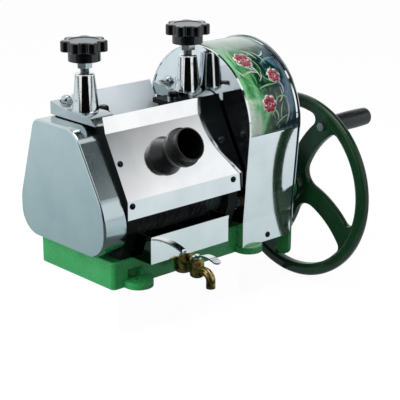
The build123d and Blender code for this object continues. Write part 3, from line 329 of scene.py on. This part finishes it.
def gasket_rubber():
    """Nitrile rubber: matt black with dusty mottling."""
    made, tree, rest = material("gasket_rubber")
    dust = add(tree, "TexNoise", {"Vector": rest, "Scale": per_mm(5), "Detail": 4.0})
    colour = add(tree, "Mix", {"Factor": dust, "A": linear("#060607"), "B": linear("#151617")},
                 data_type="RGBA")
    rough = add(tree, "MapRange", {"Value": dust, "From Min": 0.3, "From Max": 0.7,
                                   "To Min": 0.65, "To Max": 0.85})
    shader = add(tree, "BsdfPrincipled", {"Base Color": colour, "Roughness": rough, "IOR": 1.52})
    add(tree, "OutputMaterial", {"Surface": shader})
    return made


def black_oxide():
    """Blackened steel: a thin dark oxide that still glints like metal, rubbed bright on its edges."""
    made, tree, rest = material("black_oxide")
    patch = add(tree, "TexNoise", {"Vector": rest, "Scale": per_mm(3), "Detail": 3.0})
    body = add(tree, "Mix", {"Factor": patch, "A": linear("#0E1011"), "B": linear("#2B2E30")},
               data_type="RGBA")
    rubbed = edge_wear_and_highlight(tree, radius=0.6, edge_at=0.75, most=0.8)
    colour = add(tree, "Mix", {"Factor": rubbed, "A": body, "B": linear("#6E7478")}, data_type="RGBA")
    rough = add(tree, "MapRange", {"Value": patch, "From Min": 0.3, "From Max": 0.7,
                                   "To Min": 0.2, "To Max": 0.36})
    shader = add(tree, "BsdfPrincipled", {"Base Color": colour, "Metallic": 1.0, "Roughness": rough})
    add(tree, "OutputMaterial", {"Surface": shader})
    return made


def printed_film():
    """Printed vinyl film: misty leaf greens that turn to blue slate on the right, paler towards the top."""
    made, tree, _ = material("printed_film")
    print_uv = add(tree, "UVMap", {}, uv_map="print")
    across = add(tree, "SeparateXYZ", {"Vector": print_uv}, "X")
    down = add(tree, "SeparateXYZ", {"Vector": print_uv}, "Y")
    mist = add(tree, "TexNoise", {"Vector": print_uv, "Scale": 3.2, "Detail": 6.0, "Distortion": 1.2})
    lean = add(tree, "MapRange", {"Value": across, "To Min": -0.1, "To Max": 0.34})
    low = add(tree, "MapRange", {"Value": down, "From Min": 0.55, "From Max": 0.95,
                                 "To Min": 0.0, "To Max": 0.36})
    left_part = add(tree, "Math", {0: 0.9, 1: across}, operation="SUBTRACT")
    bright = add(tree, "Math", {0: low, 1: left_part}, operation="MULTIPLY")
    leaning = add(tree, "Math", {0: mist, 1: lean}, operation="ADD")
    shade = add(tree, "Math", {0: leaning, 1: bright}, operation="SUBTRACT")
    ramp = add(tree, "ValToRGB", {"Fac": shade})
    stops = ramp.node.color_ramp.elements
    stops[0].position, stops[0].color = 0.22, linear("#EAFBEA")
    stops[1].position, stops[1].color = 0.86, linear("#5C8298")
    for position, code in ((0.33, "#86DC95"), (0.44, "#23904A"), (0.56, "#0E5029"), (0.66, "#0C2F2C"),
                           (0.76, "#243F55")):
        stops.new(position).color = linear(code)
    fine = add(tree, "TexNoise", {"Vector": print_uv, "Scale": 18.0, "Detail": 3.0})
    haze = add(tree, "MapRange", {"Value": fine, "From Min": 0.54, "From Max": 0.75,
                                  "To Min": 0.0, "To Max": 0.5})
    hazed = add(tree, "Mix", {"Factor": haze, "A": ramp, "B": linear("#8CCB9E")}, data_type="RGBA")
    paler_up = add(tree, "MapRange", {"Value": down, "From Min": 0.16, "From Max": 0.46,
                                  "To Min": 0.95, "To Max": 0.0})
    colour = add(tree, "Mix", {"Factor": paler_up, "A": hazed, "B": linear("#D8EAE0")}, data_type="RGBA")
    rough = add(tree, "MapRange", {"Value": fine, "From Min": 0.3, "From Max": 0.7,
                                   "To Min": 0.12, "To Max": 0.22})
    shader = add(tree, "BsdfPrincipled", {"Base Color": colour, "Roughness": rough, "IOR": 1.5})
    add(tree, "OutputMaterial", {"Surface": shader})
    return made


def printing_ink(name, dark, light):
    """Screen-printing ink: even colour, slightly mottled where the mesh left it thin, under gloss."""
    made, tree, rest = material(name)
    mottle = add(tree, "TexNoise", {"Vector": rest, "Scale": per_mm(4), "Detail": 4.0})
    colour = add(tree, "Mix", {"Factor": mottle, "A": linear(dark), "B": linear(light)}, data_type="RGBA")
    rough = add(tree, "MapRange", {"Value": mottle, "From Min": 0.3, "From Max": 0.7,
                                   "To Min": 0.15, "To Max": 0.28})
    shader = add(tree, "BsdfPrincipled", {"Base Color": colour, "Roughness": rough, "IOR": 1.5})
    add(tree, "OutputMaterial", {"Surface": shader})
    return made


POLISHED = stainless_sheet("polished_stainless", "#EDF0F3", "#FAFBFC", mirror=0.04, wiped_rough=0.09,
                           lines_along=LINES_ALONG_X)
BOWED = stainless_sheet("bowed_stainless", "#E6EBEE", "#F4F6F8", mirror=0.04, wiped_rough=0.09,
                        lines_along=LINES_ALONG_X, bow=0.11)
# the tray's faces that look to the left get a painted dark reflection
TRAY = stainless_sheet("tray_stainless", "#EDF0F3", "#FAFBFC", mirror=0.04, wiped_rough=0.09,
                       lines_along=LINES_ALONG_X, blackened="#2A3432")
MATT = stainless_sheet("matt_rolled_stainless", "#E4EEF4", "#EFF5F9", mirror=0.6, wiped_rough=0.72,
                       lines_along=LINES_ALONG_X)
DULL = stainless_sheet("rolled_stainless", "#BCCAD0", "#CBD7DC", mirror=0.1, wiped_rough=0.18,
                       lines_along=LINES_ALONG_X)
SATIN = stainless_sheet("satin_stainless", "#BAC9CD", "#C3D0D3", mirror=0.14, wiped_rough=0.18,
                        lines_along=LINES_ALONG_Z)
# the cap bars and nuts are duller than chrome, and darker still as a painted dark reflection of their
# surroundings
GROUND_DARK_REFLECTION = stainless_sheet("ground_steel_painted_dark_reflection", "#AEBABE", "#C6CFD2", mirror=0.14, wiped_rough=0.24,
                         lines_along=LINES_ALONG_Y)
CHROME = bright_chrome()
GREEN = cast_enamel("bright_green_enamel", "#2E9150", "#38A058", "#1B5433", gloss=0.22, shine=0.4)
# the wheel's lighter edge colour is a painted highlight along its edges
DARK_GREEN = cast_enamel("dark_green_enamel", "#10301A", "#183F24", "#2C5C39", gloss=0.14, shine=0.3)
# the side frames are near black partly as their paint and partly as painted shade for the gaps beside the
# covers
FRAME_PAINT_AND_SHADE = cast_enamel("frame_enamel_and_painted_shade", "#070A09", "#0D120F", "#040606", gloss=0.45, shine=0.15)
PHENOLIC = black_phenolic()
PVC = extruded_pvc()
GRIP = moulded_grip()
BRASS = tap_brass()
STEEL = turned_metal("turned_steel", "#7E8486", "#A9AFB1", RINGS_ROUND_X, smooth=0.24)
# the rollers' dark colour is partly dull wet steel and partly painted shade for the inside of the mill
ROLLER_STEEL = turned_metal("ridged_roller_steel", "#1D1F20", "#4A4E50", RINGS_ROUND_X, smooth=0.4)
THREAD_STEEL = turned_metal("rolled_thread_steel", "#6E7476", "#A4AAAC", RINGS_ROUND_Z, smooth=0.2)
BRONZE = turned_metal("bush_bronze", "#7E5A30", "#A87B45", RINGS_ROUND_X, smooth=0.26)
IRON = oiled_iron()
RUBBER = gasket_rubber()
BLACKENED = black_oxide()
FILM = printed_film()
RED_INK = printing_ink("red_ink", "#A31C38", "#C22C4A")
WHITE_INK = printing_ink("white_ink", "#DDE4E0", "#F0F3F0")
LEAF_INK = printing_ink("leaf_ink", "#8CCB7E", "#C3E6B0")

# The finish of each carried-over solid; those not named here are turned steel
FINISHES = {
    GREEN: ("base_casting", "wheel_bracket"), DARK_GREEN: ("hand_wheel",),
    FRAME_PAINT_AND_SHADE: ("left_side_frame", "right_side_frame"), SATIN: ("left_end_cover",),
    POLISHED: ("front_panel", "bagasse_chute"), TRAY: ("juice_tray",), BOWED: ("gear_cover",),
    DULL: ("gear_cover_back_plate",), MATT: ("rear_cover",),
    GROUND_DARK_REFLECTION: ("left_cap_bar", "right_cap_bar", "rear_cap_nuts", "left_jam_nut", "right_jam_nut"),
    CHROME: ("left_tower", "right_tower", "tap_handle", "wheel_nut"),
    PHENOLIC: ("left_star_knob", "right_star_knob"), PVC: ("feed_tube",), GRIP: ("handle_grip",),
    BRASS: ("tap_body", "tap_nut"), RUBBER: ("gear_cover_gasket",), BLACKENED: ("front_cap_bolts",),
    BRONZE: ("lower_bushes", "top_bushes", "wheel_shaft_bushes"),
    IRON: ("top_roller_gear", "front_roller_gear", "rear_roller_gear", "drive_gear", "pinion"),
    ROLLER_STEEL: ("top_roller", "front_roller", "rear_roller", "turner_bar"),
    THREAD_STEEL: ("left_pressure_screw", "right_pressure_screw", "left_spring", "right_spring",
                   "left_spring_seat", "right_spring_seat", "frame_bolts", "bracket_bolts"),
}
finish_of = {node: finish for finish, names in FINISHES.items() for node in names}
for side in SIDES:
    finish_of[side + "_knob_disc"] = spun_aluminium(side + "_knob_disc")
for name, piece in nodes.items():
    finish = finish_of.get(name, STEEL)
    if not piece.material_slots:
        piece.data.materials.append(finish)
    for slot in piece.material_slots:
        slot.material = finish

# Broken edges on the castings, by a width in millimetres
EDGE_WIDTHS = {"base_casting": 1.2, "wheel_bracket": 1.2, "hand_wheel": 2.0}
WELD_GAP = 0.004
EDGE_SEGMENTS = 2
for node, width in EDGE_WIDTHS.items():
    weld = nodes[node].modifiers.new("weld", "WELD")
    weld.merge_threshold = WELD_GAP * MM
    bevel = nodes[node].modifiers.new("broken_edges", "BEVEL")
    bevel.width = width * MM
    bevel.segments = EDGE_SEGMENTS
    bevel.limit_method = "ANGLE"
    bevel.angle_limit = math.radians(SHARP_DEGREES)


# Pieces
def piece_from(name, built, finish, body, sharp=SHARP_DEGREES):
    """An object from a bmesh, riding on a body, with a finish."""
    mesh = bpy.data.meshes.new(name)
    bmesh.ops.recalc_face_normals(built, faces=built.faces)
    built.to_mesh(mesh)
    built.free()
    for face in mesh.polygons:
        face.use_smooth = True
    mesh.set_sharp_from_angle(angle=math.radians(sharp))
    mesh.materials.append(finish)
    made = link(bpy.data.objects.new(name, mesh))
    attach(made, body)
    return made


def skin(built, first, second):
    """Closed faces between two rows of vertices."""
    count = len(first)
    for k in range(count):
        built.faces.new((first[k], first[(k + 1) % count], second[(k + 1) % count], second[k]))


def grow(built, last, row):
    """Joins a row to the one before it, or closes the start with it, and gives it back."""
    if last:
        skin(built, last, row)
    else:
        built.faces.new(row[::-1])
    return row


# Cross-head screws on the panels and on the gear cover's legs, in millimetres
SCREW_PROFILE = ((5.5, 0.0), (5.45, 0.9), (5.1, 1.6), (4.4, 2.2), (3.5, 2.7))
SCREW_TOP = 3.0
SHANK_R = 2.4
SHANK_DEEP = 9.0
HEAD_SIDES = 24
HEAD_PHASE = -math.pi / 12
RECESS_ARM = 2.6
RECESS_HALF = 0.7
RECESS_DEPTH = 1.7
RECESS_TAPER = 0.6
# Points of a solid this near are one, and those in this top share of its head lie round its axis
SOLID_GAP = 0.002
CROWN_SHARE = 0.2
# The panels fold at this height, and above it they face this far out and up
PANEL_KNEE_Z = 156
SLOPE_OUT, SLOPE_UP = 0.882, 0.4713


def ring(built, plane, radius, height):
    """A ring of vertices round a screw's axis at a height."""
    verts = []
    for k in range(HEAD_SIDES):
        a = 2 * math.pi * k / HEAD_SIDES + HEAD_PHASE
        spot = Vector((radius * MM * math.cos(a), radius * MM * math.sin(a), height * MM))
        verts.append(built.verts.new(plane @ spot))
    return verts


def cross(built, plane, height, shrink):
    """The twelve corners of the driver's cross at a height."""
    corners = []
    long, short = RECESS_ARM * shrink, RECESS_HALF * shrink
    for quarter in range(4):
        turn = Matrix.Rotation(quarter * math.pi / 2, 2)
        for corner in ((long, -short), (long, short), (short, short)):
            x, y = turn @ Vector(corner)
            corners.append(built.verts.new(plane @ Vector((x * MM, y * MM, height * MM))))
    return corners


def cross_head_screw(built, plane):
    """A pan head with a driver's cross sunk in its top, and a shank behind its seat."""
    rings = [ring(built, plane, radius, height) for radius, height in SCREW_PROFILE]
    for first, second in zip(rings, rings[1:]):
        skin(built, first, second)
    seat = ring(built, plane, SHANK_R, 0.0)
    tip = ring(built, plane, SHANK_R, -SHANK_DEEP)
    skin(built, seat, rings[0])
    skin(built, tip, seat)
    built.faces.new(tip[::-1])
    rim = cross(built, plane, SCREW_TOP, 1.0)
    floor = cross(built, plane, SCREW_TOP - RECESS_DEPTH, RECESS_TAPER)
    skin(built, rim, floor)
    built.faces.new(floor)
    # the crown has two vertices for each corner of the cross
    crown = rings[-1]
    for k in range(len(rim)):
        after = (k + 1) % len(rim)
        first, second, third = (crown[(2 * k + step) % HEAD_SIDES] for step in (0, 1, 2))
        built.faces.new((first, second, rim[k]))
        built.faces.new((second, third, rim[after], rim[k]))


def seats_of(node, outward):
    """Each head's seat plane, from the node's separate solids; outward gives the axis for a middle point."""
    built = bmesh.new()
    built.from_mesh(nodes[node].data)
    bmesh.ops.remove_doubles(built, verts=built.verts, dist=SOLID_GAP * MM)
    found = set()
    planes = []
    for start in built.verts:
        if start in found:
            continue
        found.add(start)
        reached = [start]
        solid = []
        while reached:
            vert = reached.pop()
            solid.append(vert.co.copy())
            for edge in vert.link_edges:
                other = edge.other_vert(vert)
                if other not in found:
                    found.add(other)
                    reached.append(other)
        middle = sum(solid, Vector()) / len(solid)
        out = outward(middle).normalized()
        top = max(co.dot(out) for co in solid)
        on_axis = [co for co in solid if co.dot(out) > top - SCREW_TOP * MM * CROWN_SHARE]
        spot = sum(on_axis, Vector()) / len(on_axis)
        spot += out * (top - SCREW_TOP * MM - spot.dot(out))
        side = Vector((1, 0, 0))
        turn = Matrix((side, out.cross(side), out)).transposed().to_4x4()
        planes.append(Matrix.Translation(spot) @ turn)
    built.free()
    return planes


def panel_outward(at):
    """Out of the low strip or out of the slope, to the front or to the back."""
    side = math.copysign(1.0, at.y)
    if at.z < PANEL_KNEE_Z * MM:
        return Vector((0, side, 0))
    return Vector((0, SLOPE_OUT * side, SLOPE_UP))


def leg_outward(at):
    """Out of the gear cover's front leg or its back leg."""
    return Vector((0, at.y, 0))


for node, outward in (("panel_screws", panel_outward), ("gear_cover_screws", leg_outward)):
    built = bmesh.new()
    for plane in seats_of(node, outward):
        cross_head_screw(built, plane)
    heads = piece_from("cross_head_" + node, built, BLACKENED, "machine")
    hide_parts(node)


# Threaded pressure screws
THREAD_PITCH = 2.0 * MM
THREAD_DEPTH = 1.1 * MM
THREAD_SIDES = 32
ROWS_PER_PITCH = 6
PLAIN_END_ROWS = 2
THREAD_SHARP_DEGREES = 30


def threaded_screw(low, high):
    """A screw that fills its box, with a groove that climbs round it and plain ends."""
    built = bmesh.new()
    axis = (low + high) / 2
    outer = (high.x - low.x) / 2
    steps = int((high.z - low.z) / THREAD_PITCH * ROWS_PER_PITCH)
    last = None
    for k in range(steps + 1):
        z = low.z + (high.z - low.z) * k / steps
        plain = min(k, steps - k) < PLAIN_END_ROWS
        row = []
        for j in range(THREAD_SIDES):
            a = 2 * math.pi * j / THREAD_SIDES
            phase = (z / THREAD_PITCH - j / THREAD_SIDES) % 1.0
            groove = 1.0 if plain else abs(2 * phase - 1)
            r = outer - groove * THREAD_DEPTH
            row.append(built.verts.new((axis.x + r * math.cos(a), axis.y + r * math.sin(a), z)))
        last = grow(built, last, row)
    built.faces.new(last)
    return built


for side in SIDES:
    built = threaded_screw(*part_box(side + "_pressure_screw"))
    screw = piece_from(side + "_threaded_screw", built, THREAD_STEEL, side + "_screw_set",
                       THREAD_SHARP_DEGREES)
    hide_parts(side + "_pressure_screw")


# Pressure springs with closed ends
SPRING_TURNS = 8
CLOSED_TURN = 0.8
STEPS_PER_TURN = 28
WIRE_SIDES = 10
WIRE_R = 1.75 * MM


def wound_spring(low, high):
    """Round wire wound up the axis of its box, flat for most of the first and last turn."""
    built = bmesh.new()
    axis = (low + high) / 2
    coil = (high.x - low.x) / 2 - WIRE_R
    start, end = low.z + WIRE_R, high.z - WIRE_R
    open_turns = SPRING_TURNS - 2 * CLOSED_TURN
    steps = SPRING_TURNS * STEPS_PER_TURN
    last = None
    for k in range(steps + 1):
        turns = SPRING_TURNS * k / steps
        climb = min(1.0, max(0.0, (turns - CLOSED_TURN) / open_turns))
        slope = 0.0 if climb in (0.0, 1.0) else (end - start) / (2 * math.pi * coil * open_turns)
        a = 2 * math.pi * turns
        out = Vector((math.cos(a), math.sin(a), 0))
        ahead = Vector((-math.sin(a), math.cos(a), slope)).normalized()
        up = ahead.cross(out) * -1
        at = Vector((axis.x, axis.y, start + climb * (end - start))) + out * coil
        row = []
        for j in range(WIRE_SIDES):
            b = 2 * math.pi * j / WIRE_SIDES
            row.append(built.verts.new(at + (out * math.cos(b) + up * math.sin(b)) * WIRE_R))
        last = grow(built, last, row)
    built.faces.new(last)
    return built


for side in SIDES:
    low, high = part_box(side + "_spring")
    built = wound_spring(low, high)
    spring = piece_from(side + "_wound_spring", built, THREAD_STEEL, "machine")
    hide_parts(side + "_spring")
    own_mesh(spring)


# Printed film on the gear cover's arch, with leaves and rosettes of its own
cover_low, cover_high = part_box("gear_cover")
ARCH_R = 136 * MM
ARCH_MID = cover_high.z - ARCH_R
FILM_EDGE = 4.5 * MM
FILM_X0, FILM_X1 = cover_low.x + FILM_EDGE, cover_high.x - FILM_EDGE
FILM_START, FILM_END = -18.0, 94.0
FILM_COLUMNS, FILM_ROWS = 12, 60
FILM_THICK = 0.2 * MM
INK_THICK = 0.08 * MM
# Each layer lies on the one below, in millimetres from the sheet
FILM_LIFT, LEAF_LIFT, ROSETTE_EDGE_LIFT, ROSETTE_LIFT = 0.3, 0.38, 0.44, 0.5


def on_arch(x, degrees, lift):
    """A point on the arch: degrees from its crown towards the front, lifted by millimetres."""
    a = math.radians(degrees)
    r = ARCH_R + lift * MM
    return Vector((x, -r * math.sin(a), ARCH_MID + r * math.cos(a)))


def arc(length):
    """The degrees round the arch that a length in millimetres takes."""
    return math.degrees(length * MM / ARCH_R)


def thicken(made, name, thickness):
    """Gives a sheet its thickness, inwards from its outer face."""
    thick = made.modifiers.new(name, "SOLIDIFY")
    thick.thickness = thickness
    thick.offset = -1.0


built = bmesh.new()
print_layer = built.loops.layers.uv.new("print")
grid = []
film_xs = [FILM_X0 + (FILM_X1 - FILM_X0) * i / FILM_COLUMNS for i in range(FILM_COLUMNS + 1)]
for j in range(FILM_ROWS + 1):
    degrees = FILM_START + (FILM_END - FILM_START) * j / FILM_ROWS
    grid.append([built.verts.new(on_arch(x, degrees, FILM_LIFT)) for x in film_xs])
for j in range(FILM_ROWS):
    for i in range(FILM_COLUMNS):
        face = built.faces.new((grid[j][i], grid[j + 1][i], grid[j + 1][i + 1], grid[j][i + 1]))
        spots = ((i, j), (i, j + 1), (i + 1, j + 1), (i + 1, j))
        for corner, (u, v) in zip(face.loops, spots):
            corner[print_layer].uv = (u / FILM_COLUMNS, v / FILM_ROWS)
film = piece_from("printed_band", built, FILM, "machine")
thicken(film, "film_thickness", FILM_THICK)


def printed_shapes(name, shapes, lift, finish):
    """Thin inked shapes on the arch; each is a row of left points and a row of right points."""
    built = bmesh.new()
    for left, right in shapes:
        pairs = [(built.verts.new(on_arch(*a, lift)), built.verts.new(on_arch(*b, lift)))
                 for a, b in zip(left, right)]
        for (a, b), (c, d) in zip(pairs, pairs[1:]):
            built.faces.new((a, c, d, b))
    made = piece_from(name, built, finish, "machine")
    thicken(made, "ink_thickness", INK_THICK)


BLADE_STEPS = 14
BLADE_TIP = 0.05
BLADE_FULLNESS = 0.8


def blade(x, degrees, length, width, heading, bow):
    """A slender leaf: a bowed spine with a lens outline, in millimetres on the film."""
    left, right = [], []
    for k in range(BLADE_STEPS + 1):
        t = k / BLADE_STEPS
        turn = math.radians(heading + bow * (t - 0.5))
        px = x + length * t * math.cos(turn)
        ps = length * t * math.sin(turn)
        half = max(BLADE_TIP, width / 2 * math.sin(math.pi * t) ** BLADE_FULLNESS)
        nx, ns = -math.sin(turn) * half, math.cos(turn) * half
        left.append(((px + nx) * MM, degrees + arc(ps + ns)))
        right.append(((px - nx) * MM, degrees + arc(ps - ns)))
    return left, right


SCALLOP_STEPS = 72
SCALLOP_DEPTH = 0.2
SCALLOP_MIDDLE = 0.02
PETALS = 7
PETAL_ROOT, PETAL_LENGTH, PETAL_WIDTH = 0.22, 0.74, 0.62
PETAL_PHASE = 0.25


def scalloped(x, degrees, radius):
    """A disc with a scalloped edge, as a row of points round its edge and a row round its middle."""
    left, right = [], []
    for k in range(SCALLOP_STEPS + 1):
        a = 2 * math.pi * k / SCALLOP_STEPS
        r = radius * (1 - SCALLOP_DEPTH + SCALLOP_DEPTH * abs(math.cos(PETALS * a / 2)))
        for row, reach in ((left, r), (right, SCALLOP_MIDDLE * radius)):
            row.append(((x + reach * math.cos(a)) * MM, degrees + arc(reach * math.sin(a))))
    return left, right


def petals_of(x, degrees, radius):
    """Pointed petals round a rosette's middle, each a short blade."""
    shapes = []
    root = PETAL_ROOT * radius
    for k in range(PETALS):
        heading = 360 * (k + PETAL_PHASE) / PETALS
        a = math.radians(heading)
        shapes.append(blade(x + root * math.cos(a), degrees + arc(root * math.sin(a)),
                            PETAL_LENGTH * radius, PETAL_WIDTH * radius, heading, 0))
    return shapes


# Leaves are drawn at random, in this order of values, and kept where they lie on the film
LEAF_RANGES = {"x": (112, 200), "degrees": (20, 90), "length": (22, 46), "width": (1.6, 3.6),
               "heading": (-100, 70), "bow": (-60, 60)}
LEAF_LOW, LEAF_HIGH = 16, 93
LEAVES = 34
GREEN_LEAVES = 22
random.seed(7)
leaves = []
while len(leaves) < LEAVES:
    left, right = blade(**{name: random.uniform(*reach) for name, reach in LEAF_RANGES.items()})
    if all(FILM_X0 < x < FILM_X1 and LEAF_LOW < degrees < LEAF_HIGH for x, degrees in left + right):
        leaves.append((left, right))
printed_shapes("printed_leaves", leaves[:GREEN_LEAVES], LEAF_LIFT, LEAF_INK)
printed_shapes("printed_pale_leaves", leaves[GREEN_LEAVES:], LEAF_LIFT, WHITE_INK)

# Rosettes, each by its X, its degrees from the crown and its radius
ROSETTES = ((146, 33, 18), (192, 51, 14), (160, 72, 16))
EDGE_SHARE = 1.12
EYE_SHARE = 0.2
rosette_edges = [scalloped(x, degrees, EDGE_SHARE * radius) for x, degrees, radius in ROSETTES]
printed_shapes("printed_rosette_edges", rosette_edges, ROSETTE_EDGE_LIFT, WHITE_INK)
rosettes = [petal for rosette in ROSETTES for petal in petals_of(*rosette)]
rosettes += [scalloped(x, degrees, EYE_SHARE * radius) for x, degrees, radius in ROSETTES]
printed_shapes("printed_rosettes", rosettes, ROSETTE_LIFT, RED_INK)


# Camera at the photograph's view
CAMERA_AT = (-1.43674, -1.70050, 0.81181)
CAMERA_RIGHT = Vector((0.73956, -0.67309, 0.0))
CAMERA_UP = Vector((0.20573, 0.22604, 0.95215))
camera_data = bpy.data.cameras.new("camera")
camera_data.sensor_width = 36.0
camera_data.lens = 116.674
camera_data.clip_end = 50
camera = link(bpy.data.objects.new("camera", camera_data))
camera_turn = Matrix((CAMERA_RIGHT, CAMERA_UP, CAMERA_RIGHT.cross(CAMERA_UP))).transposed().to_4x4()
camera.matrix_world = Matrix.Translation(CAMERA_AT) @ camera_turn
stage_scene.camera = camera
stage_scene.view_settings.view_transform = "Standard"


# Stage: a pale floor, a pedestal under the base, soft lamps, and cards for the mirrors to see
FLOOR_Z = cad_low.z - 0.5 * MM
FLOOR_HALF = 8
FLOOR_GLOW = 1.12
FLOOR_GLOW_SHARE = 0.86
PEDESTAL_X = (-0.165, 0.12)
PEDESTAL_Y = (-0.095, 0.095)
PEDESTAL_TOP = -0.2 * MM
ROOM_LIGHT = 0.22


def staged(name, corners, faces, paint):
    """A flat-faced object of the stage, which isn't part of the machine."""
    mesh = bpy.data.meshes.new(name)
    mesh.from_pydata([Vector(c) for c in corners], [], faces)
    mesh.materials.append(paint)
    made = link(bpy.data.objects.new(name, mesh))
    made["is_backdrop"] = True
    return made


def seen_ray(tree):
    """1 for camera, mirror and glass rays, 0 for the light that falls on the object."""
    camera_ray = add(tree, "LightPath", {}, "Is Camera Ray")
    glossy_ray = add(tree, "LightPath", {}, "Is Glossy Ray")
    glass_ray = add(tree, "LightPath", {}, "Is Transmission Ray")
    direct = add(tree, "Math", {0: camera_ray, 1: glossy_ray}, operation="MAXIMUM")
    return add(tree, "Math", {0: direct, 1: glass_ray}, operation="MAXIMUM")


# The floor glows white to the camera and grey to the mirrors, and keeps part of the machine's shadow
white_floor, tree, _ = material("white_floor")
matt = add(tree, "BsdfDiffuse", {"Color": linear("#B8B8B8")})
mirror_ray = add(tree, "LightPath", {}, "Is Glossy Ray")
seen = add(tree, "Mix", {"Factor": mirror_ray, "A": linear("#FFFFFF"), "B": linear("#4A5151")},
           data_type="RGBA")
glow = add(tree, "Emission", {"Color": seen, "Strength": FLOOR_GLOW})
share = add(tree, "Math", {0: seen_ray(tree), 1: FLOOR_GLOW_SHARE}, operation="MULTIPLY")
mixed = add(tree, "MixShader", {0: share, 1: matt, 2: glow})
add(tree, "OutputMaterial", {"Surface": mixed})
floor_corners = [(x * FLOOR_HALF, y * FLOOR_HALF, FLOOR_Z) for x, y in ((-1, -1), (1, -1), (1, 1), (-1, 1))]
staged("floor", floor_corners, [(0, 1, 2, 3)], white_floor)
(x0, x1), (y0, y1) = PEDESTAL_X, PEDESTAL_Y
pedestal_corners = [(x, y, z) for z in (FLOOR_Z, PEDESTAL_TOP)
                    for x, y in ((x0, y0), (x1, y0), (x1, y1), (x0, y1))]
pedestal_faces = [(4, 5, 6, 7), (0, 1, 5, 4), (1, 2, 6, 5), (2, 3, 7, 6), (3, 0, 4, 7)]
staged("pedestal", pedestal_corners, pedestal_faces, white_floor)

world = bpy.data.worlds.new("studio")
stage_scene.world = world
world.use_nodes = True
tree = world.node_tree
tree.nodes.clear()
sky = add(tree, "Background", {"Color": linear("#EEF3F7"), "Strength": ROOM_LIGHT})
white = add(tree, "Background", {"Color": linear("#FFFFFF"), "Strength": 1.0})
mixed = add(tree, "MixShader", {0: seen_ray(tree), 1: sky, 2: white})
add(tree, "OutputWorld", {"Surface": mixed})


def softbox(name, at, aim, size, power):
    """A rectangular lamp that looks at a point, in watts."""
    data = bpy.data.lights.new(name, "AREA")
    data.shape = "RECTANGLE"
    data.size, data.size_y = size
    data.energy = power
    made = link(bpy.data.objects.new(name, data))
    made.location = at
    made.rotation_mode = "QUATERNION"
    made.rotation_quaternion = (Vector(aim) - Vector(at)).to_track_quat("-Z", "Y")
    return made


left_softbox = softbox("left_softbox", at=(-2.0, 0.2, 1.0), aim=(0, 0, 0.15), size=(2.0, 2.0), power=44)
left_softbox.visible_glossy = False
softbox("top_softbox", at=(0.1, -0.4, 2.2), aim=(0, 0, 0.2), size=(1.6, 1.2), power=18)


def card(name, corners, flat, low_colour, high_colour, low_at, high_at):
    """A card that only mirrors see, shaded between two heights, or outwards between two distances."""
    paint, tree, rest = material(name)
    if flat:
        place = add(tree, "VectorMath", {0: rest}, "Value", operation="LENGTH")
    else:
        place = add(tree, "SeparateXYZ", {"Vector": rest}, "Z")
    part = add(tree, "MapRange", {"Value": place, "From Min": low_at, "From Max": high_at})
    colour = add(tree, "Mix", {"Factor": part, "A": linear(low_colour), "B": linear(high_colour)},
                 data_type="RGBA")
    glow = add(tree, "Emission", {"Color": colour})
    add(tree, "OutputMaterial", {"Surface": glow})
    made = staged(name, corners, [tuple(range(len(corners)))], paint)
    made.visible_camera = False
    made.visible_diffuse = False
    made.visible_shadow = False
    made.visible_transmission = False


def bearing(degrees, reach, height):
    """A point out from the machine; 0 degrees is to the front and 90 to the right."""
    a = math.radians(degrees)
    return (reach * math.sin(a), -reach * math.cos(a), height)


def standing(name, start, end, reach, low, high, low_colour, high_colour, low_at=0.0, high_at=1.0):
    """An upright card between two bearings."""
    corners = [bearing(start, reach, low), bearing(end, reach, low), bearing(end, reach, high),
               bearing(start, reach, high)]
    card(name, corners, False, low_colour, high_colour, low_at, high_at)


def lying(name, start, end, near, far, near_colour, far_colour, near_at=0.0, far_at=1.0):
    """A card just over the floor between two bearings."""
    z = FLOOR_Z + 1 * MM
    corners = [bearing(start, near, z), bearing(end, near, z), bearing(end, far, z), bearing(start, far, z)]
    card(name, corners, True, near_colour, far_colour, near_at, far_at)


standing("dark_side", start=-75, end=-6, reach=2.6, low=-0.08, high=2.2,
         low_colour="#080A0A", high_colour="#9AA4A6", low_at=0.55, high_at=1.2)
standing("dark_corner", start=-50, end=-33, reach=2.05, low=0.5, high=1.75,
         low_colour="#080A0A", high_colour="#080A0A")
lying("dark_side_floor", start=-75, end=-6, near=0.5, far=3.2, near_colour="#59605F", far_colour="#59605F")
lying("right_mat", start=78, end=192, near=0.25, far=7.0,
      near_colour="#B8C6C8", far_colour="#DFE8EB", near_at=0.35, far_at=1.2)
standing("dim_ceiling", start=15, end=80, reach=3.4, low=1.5, high=2.42,
         low_colour="#FFFFFF", high_colour="#1A2629", low_at=1.5, high_at=2.06)
lying("front_mat", start=12, end=75, near=0.25, far=7.0,
      near_colour="#C0D0D0", far_colour="#DFE8EB", near_at=0.35, far_at=1.0)
lying("back_left_mat", start=-165, end=-98, near=0.2, far=7.0,
      near_colour="#B0C3C5", far_colour="#DFEAED", near_at=0.4, far_at=1.4)
standing("film_shade", start=54, end=118, reach=2.4, low=1.45, high=4.2,
         low_colour="#0C1012", high_colour="#0C1012")

# Sizes of what is shown, without the stage
low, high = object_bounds()
